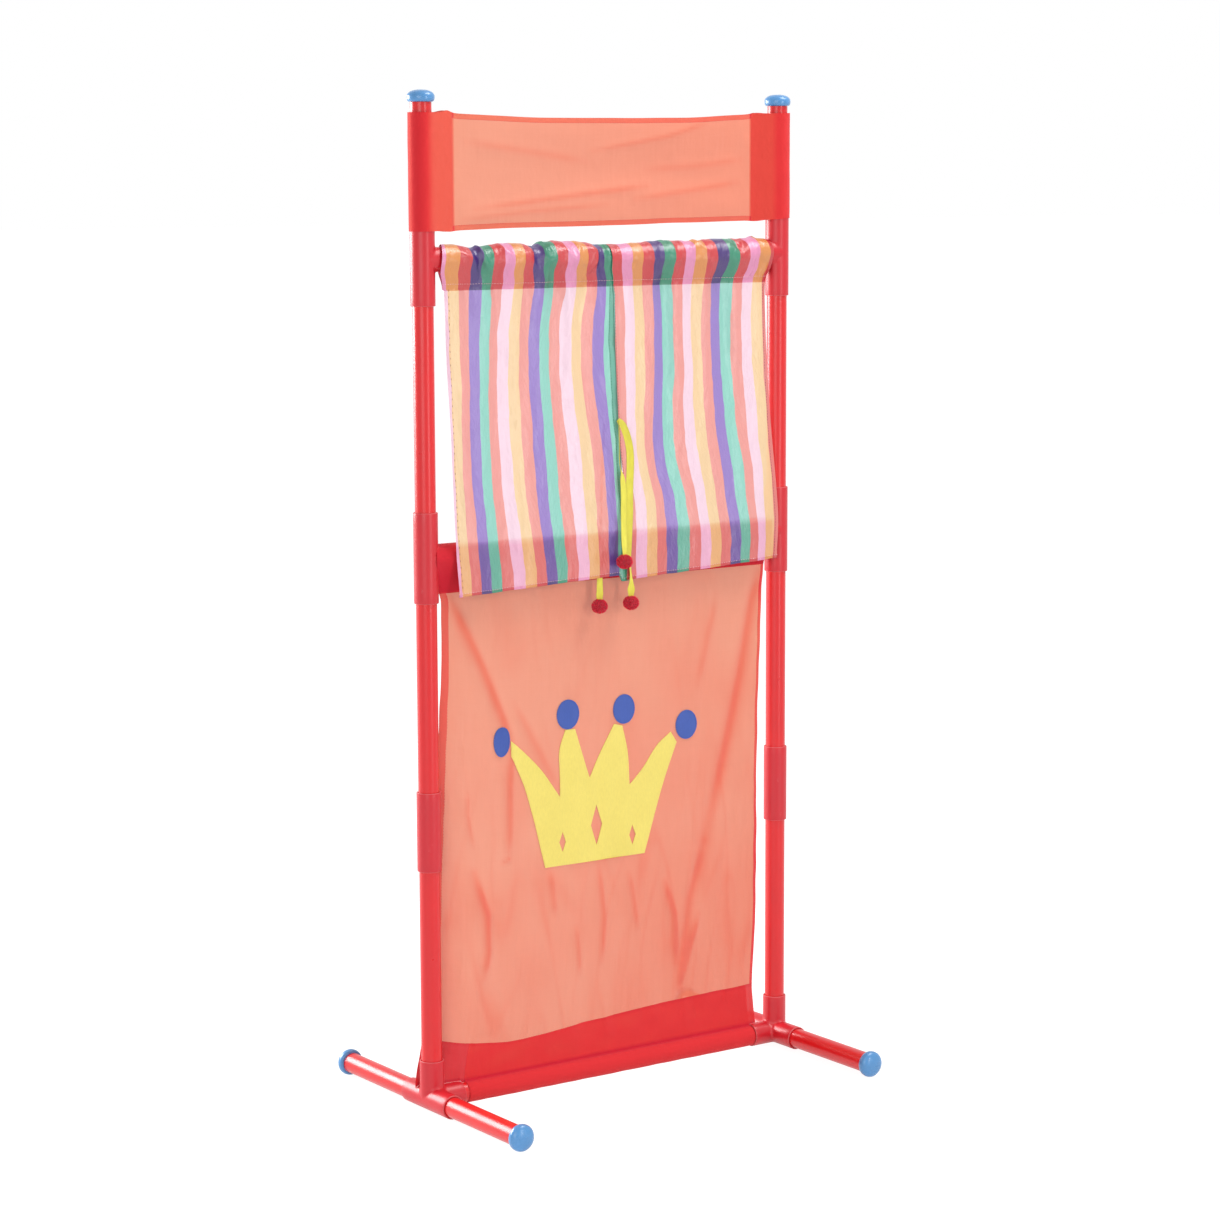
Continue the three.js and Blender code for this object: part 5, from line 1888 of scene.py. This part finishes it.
def on_panel(x, z, lift=0.5):
    return x, panel_depth(x, z) - lift, z


# Distance of the banner's seams from its free edges, and the height of the bottom band's seam
BANNER_SEAM_INSET = 6.0
BAND_SEAM = 78


def sew_coral_cloth(tree):
    banner = []
    for x in (-SLEEVE_END, SLEEVE_END):
        top, low = banner_edges(x)
        banner.append([(x, -LOOP_SEAM, mix(top - 1, low + 1, t)) for t in even(40)])
    across = [mix(-SLEEVE_END + 1, SLEEVE_END - 1, t) for t in even(SEAM_POINTS)]
    for heights in ([banner_edges(x)[0] - BANNER_SEAM_INSET for x in across],
                    [banner_edges(x)[1] + BANNER_SEAM_INSET for x in across]):
        banner.append([(x, banner_front(x, z), z) for x, z in zip(across, heights)])
    sew("banner_stitches", banner, tree, "coral_thread", "coral_cloth", 31)
    tunnel, band = ([mix(panel_edge(-1, z) + 1, panel_edge(1, z) - 1, t)
                     for t in even(SEAM_POINTS)] for z in (PANEL_TOP, BAND_SEAM))
    panel = [[(x, -LOOP_SEAM, PANEL_TOP) for x in tunnel], [on_panel(x, band_top(x)) for x in band]]
    cloth = sizes_of("cloth")
    for sign, hem in ((-1, cloth.panel_left_hem), (1, cloth.panel_hem)):
        panel.append([on_panel(panel_edge(sign, z) - sign * (hem / MM - 0.5), z)
                      for z in (mix(88, PANEL_TOP - 4, t) for t in even(150))])
    sew("front_panel_stitches", panel, tree, "coral_thread", "coral_cloth", 32)


def sew_crown(tree):
    lift = LOOP_SEAM + FELT_LIFT + sizes_of("trim").felt / MM
    outline = crown_outline()
    middle = Vector((CROWN_X, CROWN_BASE + 0.35 * CROWN_HEIGHT))
    seam = []
    count = len(outline)
    for k, place in enumerate(outline):
        along = (outline[(k + 1) % count] - outline[k - 1]).normalized()
        inwards = Vector((-along.y, along.x)) * CROWN_SEAM
        places = (place + inwards, place - inwards, mix(place, middle, 0.02))
        seam.append(next(inner for inner in places if inside(inner, outline)))
    seam.append(seam[0])
    sew("crown_stitches", [[on_panel(p.x, p.y, lift) for p in seam]], tree, "crown_thread",
        "yellow_felt", 41)
    rings = []
    for i in range(len(CROWN_BALLS)):
        ring = ball_outline(i, BALL_SEAM)
        rings.append([on_panel(p.x, p.y, lift) for p in [*ring, ring[0]]])
    sew("crown_ball_stitches", rings, tree, "ball_thread", "blue_felt", 42)


# Stage

CAMERA_PLACE = Vector((-2.2062, -3.1492, 1.1203))
CAMERA_YAW, CAMERA_PITCH, CAMERA_ROLL = 35.051, -7.844, -0.211
CAMERA_LENS = 93.02
SENSOR_WIDTH = 36.0
# Each lamp's place, target, size and power
LAMPS = {
    "left_fill": ((-2.6, -2.3, 1.3), (0, 0, 0.6), (1.7, 2.0), 27),
    "front_strip": ((0.66, -3.1, 1.0), (0, 0, 0.6), (0.4, 2.0), 19),
    "overhead": ((1.2, -0.9, 3.2), (0, 0, 0.8), (1.5, 1.3), 52),
    "rear": ((-1.4, 2.4, 1.25), (-0.1, 0, 0.2), (1.7, 1.3), 95),
}
# The world's light where it isn't seen, the floor's grey where it isn't seen and where it is, and
# its glow where it is
WORLD_LIGHT = 0.42
FLOOR_LIT = (0.85, 0.85, 0.85)
FLOOR_SEEN = (0.3, 0.3, 0.3)
FLOOR_GLOW = 0.93
FLOOR_REACH = 60000
FLOOR_DROP = 0.5


def lamp(name, place, target, size, power):
    light = bpy.data.lights.new(name, "AREA")
    light.shape = "RECTANGLE"
    light.size, light.size_y = size
    light.energy = power
    holder = placed(name, light)
    holder.location = place
    holder.rotation_euler = (Vector(target) - Vector(place)).to_track_quat("-Z", "Y").to_euler()


def seen_white(tree):
    """1 for rays that should meet a plain white background"""
    path = add_node(tree, "ShaderNodeLightPath")
    seen = maths(tree, "ADD", path.outputs["Is Camera Ray"], path.outputs["Is Glossy Ray"])
    return maths(tree, "ADD", seen, path.outputs["Is Transmission Ray"], clamped=True)


def aim_camera(holder):
    yaw, pitch, roll = (math.radians(a) for a in (CAMERA_YAW, CAMERA_PITCH, CAMERA_ROLL))
    ahead = Vector((math.sin(yaw) * math.cos(pitch), math.cos(yaw) * math.cos(pitch),
                    math.sin(pitch)))
    right = ahead.cross(Vector((0, 0, 1))).normalized()
    above = right.cross(ahead)
    level, tilt = math.cos(roll), math.sin(roll)
    right, above = right * level + above * tilt, above * level - right * tilt
    turn = Matrix((right, above, -ahead)).transposed().to_4x4()
    holder.matrix_world = Matrix.Translation(CAMERA_PLACE) @ turn


def make_stage():
    scene = bpy.context.scene
    camera = bpy.data.cameras.new("camera")
    camera.lens, camera.sensor_width = CAMERA_LENS, SENSOR_WIDTH
    scene.camera = placed("camera", camera)
    aim_camera(scene.camera)
    scene.view_settings.view_transform = "Standard"

    scene.world = bpy.data.worlds.new("soft_studio")
    scene.world.use_nodes = True
    tree = scene.world.node_tree
    feed(tree, tree.nodes["Background"], {
        "Color": (1, 1, 1, 1), "Strength": spread(tree, seen_white(tree), 0.0, 1.0, WORLD_LIGHT),
    })
    for name, settings in LAMPS.items():
        lamp(name, *settings)

    corners = ((-1, -1), (1, -1), (1, 1), (-1, 1))
    floor = mesh_object("floor", [(a * FLOOR_REACH, b * FLOOR_REACH, -FLOOR_DROP)
                                  for a, b in corners], [(0, 1, 2, 3)])
    material, tree, skin = new_material("white_floor")
    seen = seen_white(tree)
    feed(tree, skin, {
        "Base Color": blend_colour(tree, seen, FLOOR_LIT, FLOOR_SEEN),
        "Roughness": 1.0, "Specular IOR Level": 0.0, "Emission Color": (1, 1, 1, 1),
        "Emission Strength": maths(tree, "MULTIPLY", seen, FLOOR_GLOW),
    })
    floor.data.materials.append(material)


# Operators


class MakeStage(bpy.types.Operator):
    """Make the floor, the soft light and the camera"""
    bl_idname = "puppet_stand.make_stage"
    bl_label = "Make Stage"

    def execute(self, context):
        make_stage()
        return {"FINISHED"}


class MakeTies(bpy.types.Operator):
    """Make the ribbon ties and their pompoms"""
    bl_idname = "puppet_stand.make_ties"
    bl_label = "Make Ties"

    def execute(self, context):
        make_ties()
        return {"FINISHED"}


class MakeTubes(bpy.types.Operator):
    """Make the posts, feet, crossbars and curtain rod"""
    bl_idname = "puppet_stand.make_tubes"
    bl_label = "Make Tubes"

    def execute(self, context):
        tree = tube_growth()
        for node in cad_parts:
            if node.endswith(("_tube", "_crossbar", "curtain_rod")):
                add_tube(node, tree)
        return {"FINISHED"}


class MakeFittings(bpy.types.Operator):
    """Make the socket fittings and couplers"""
    bl_idname = "puppet_stand.make_fittings"
    bl_label = "Make Fittings"

    def execute(self, context):
        frame_sizes = sizes_of("frame")
        fillet, rim = frame_sizes.fillet / MM, frame_sizes.mouth_round / MM
        up, down, front, rear = (0, 0, 1), (0, 0, -1), (0, -1, 0), (0, 1, 0)
        for side, sign in SIDES.items():
            inward = (-sign, 0, 0)
            tee = [(up, TEE_REACH), (down, TEE_REACH), (inward, SIDE_REACH)]
            base = [(front, BASE_REACH), (rear, BASE_REACH), (up, BASE_REACH),
                    (inward, SIDE_REACH)]
            sleeve = [(up, COUPLER_REACH), (down, COUPLER_REACH)]
            for name, height, arms, seat in (
                    ("rod_tee", ROD_Z, tee, SEAT_DISTANCE),
                    ("crossbar_tee", BAR_Z, tee, SEAT_DISTANCE),
                    ("base_fitting", FOOT_Z, base, SEAT_DISTANCE),
                    ("post_coupler", COUPLER_Z, sleeve, STOP_LIP / 2)):
                middle = Vector((sign * POST_X, 0, height))
                add_fitting(f"{side}_{name}", middle, arms, seat, fillet, rim)
        return {"FINISHED"}


class MakeCaps(bpy.types.Operator):
    """Make the domed end caps"""
    bl_idname = "puppet_stand.make_caps"
    bl_label = "Make Caps"

    def execute(self, context):
        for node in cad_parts:
            if node.endswith("_cap"):
                add_cap(node, sizes_of("frame").cap_overhang / MM)
        return {"FINISHED"}


class MakeBanner(bpy.types.Operator):
    """Make the banner with its sleeves"""
    bl_idname = "puppet_stand.make_banner"
    bl_label = "Make Banner"

    def execute(self, context):
        make_banner()
        return {"FINISHED"}


class MakeCurtains(bpy.types.Operator):
    """Make the two striped curtains"""
    bl_idname = "puppet_stand.make_curtains"
    bl_label = "Make Curtains"

    def execute(self, context):
        make_curtains()
        return {"FINISHED"}


class MakeFrontPanel(bpy.types.Operator):
    """Make the front panel with its tunnels and bottom band"""
    bl_idname = "puppet_stand.make_front_panel"
    bl_label = "Make Front Panel"

    def execute(self, context):
        make_front_panel()
        return {"FINISHED"}


class MakeCrown(bpy.types.Operator):
    """Make the felt crown and its balls"""
    bl_idname = "puppet_stand.make_crown"
    bl_label = "Make Crown"

    def execute(self, context):
        make_crown()
        return {"FINISHED"}


class MakeStitches(bpy.types.Operator):
    """Sew the seams of the cloths and the crown"""
    bl_idname = "puppet_stand.make_stitches"
    bl_label = "Make Stitches"

    def execute(self, context):
        tree = stitch_growth()
        sew_curtains(tree)
        sew_coral_cloth(tree)
        sew_crown(tree)
        return {"FINISHED"}


STEPS = (MakeStage, MakeTies, MakeTubes, MakeFittings, MakeCaps, MakeBanner, MakeCurtains,
         MakeFrontPanel, MakeCrown, MakeStitches)


class StandPanel(bpy.types.Panel):
    """Lists the steps and sizes of the stand"""
    bl_idname = "VIEW3D_PT_puppet_stand"
    bl_label = "Puppet Theater Stand"
    bl_space_type = "VIEW_3D"
    bl_region_type = "UI"
    bl_category = "Puppet Stand"

    def draw(self, context):
        for step in STEPS:
            self.layout.operator(step.bl_idname)
        for group, owner in GROUPS.items():
            box = self.layout.box()
            box.label(text=group.capitalize())
            for key in owner.__annotations__:
                box.prop(getattr(context.scene, f"stand_{group}"), key)


GROUPS = {"frame": StandFrameSizes, "cloth": StandClothSizes, "trim": StandTrimSizes,
          "colours": StandColours}


def register():
    for known in (*GROUPS.values(), *STEPS, StandPanel):
        bpy.utils.register_class(known)
    for group, owner in GROUPS.items():
        setattr(bpy.types.Scene, f"stand_{group}", PointerProperty(type=owner))


def unregister():
    for group in GROUPS:
        delattr(bpy.types.Scene, f"stand_{group}")
    for known in reversed((*GROUPS.values(), *STEPS, StandPanel)):
        bpy.utils.unregister_class(known)


def main():
    register()
    for step in STEPS:
        group, name = step.bl_idname.split(".")
        getattr(getattr(bpy.ops, group), name)()


if __name__ == "__main__":
    main()
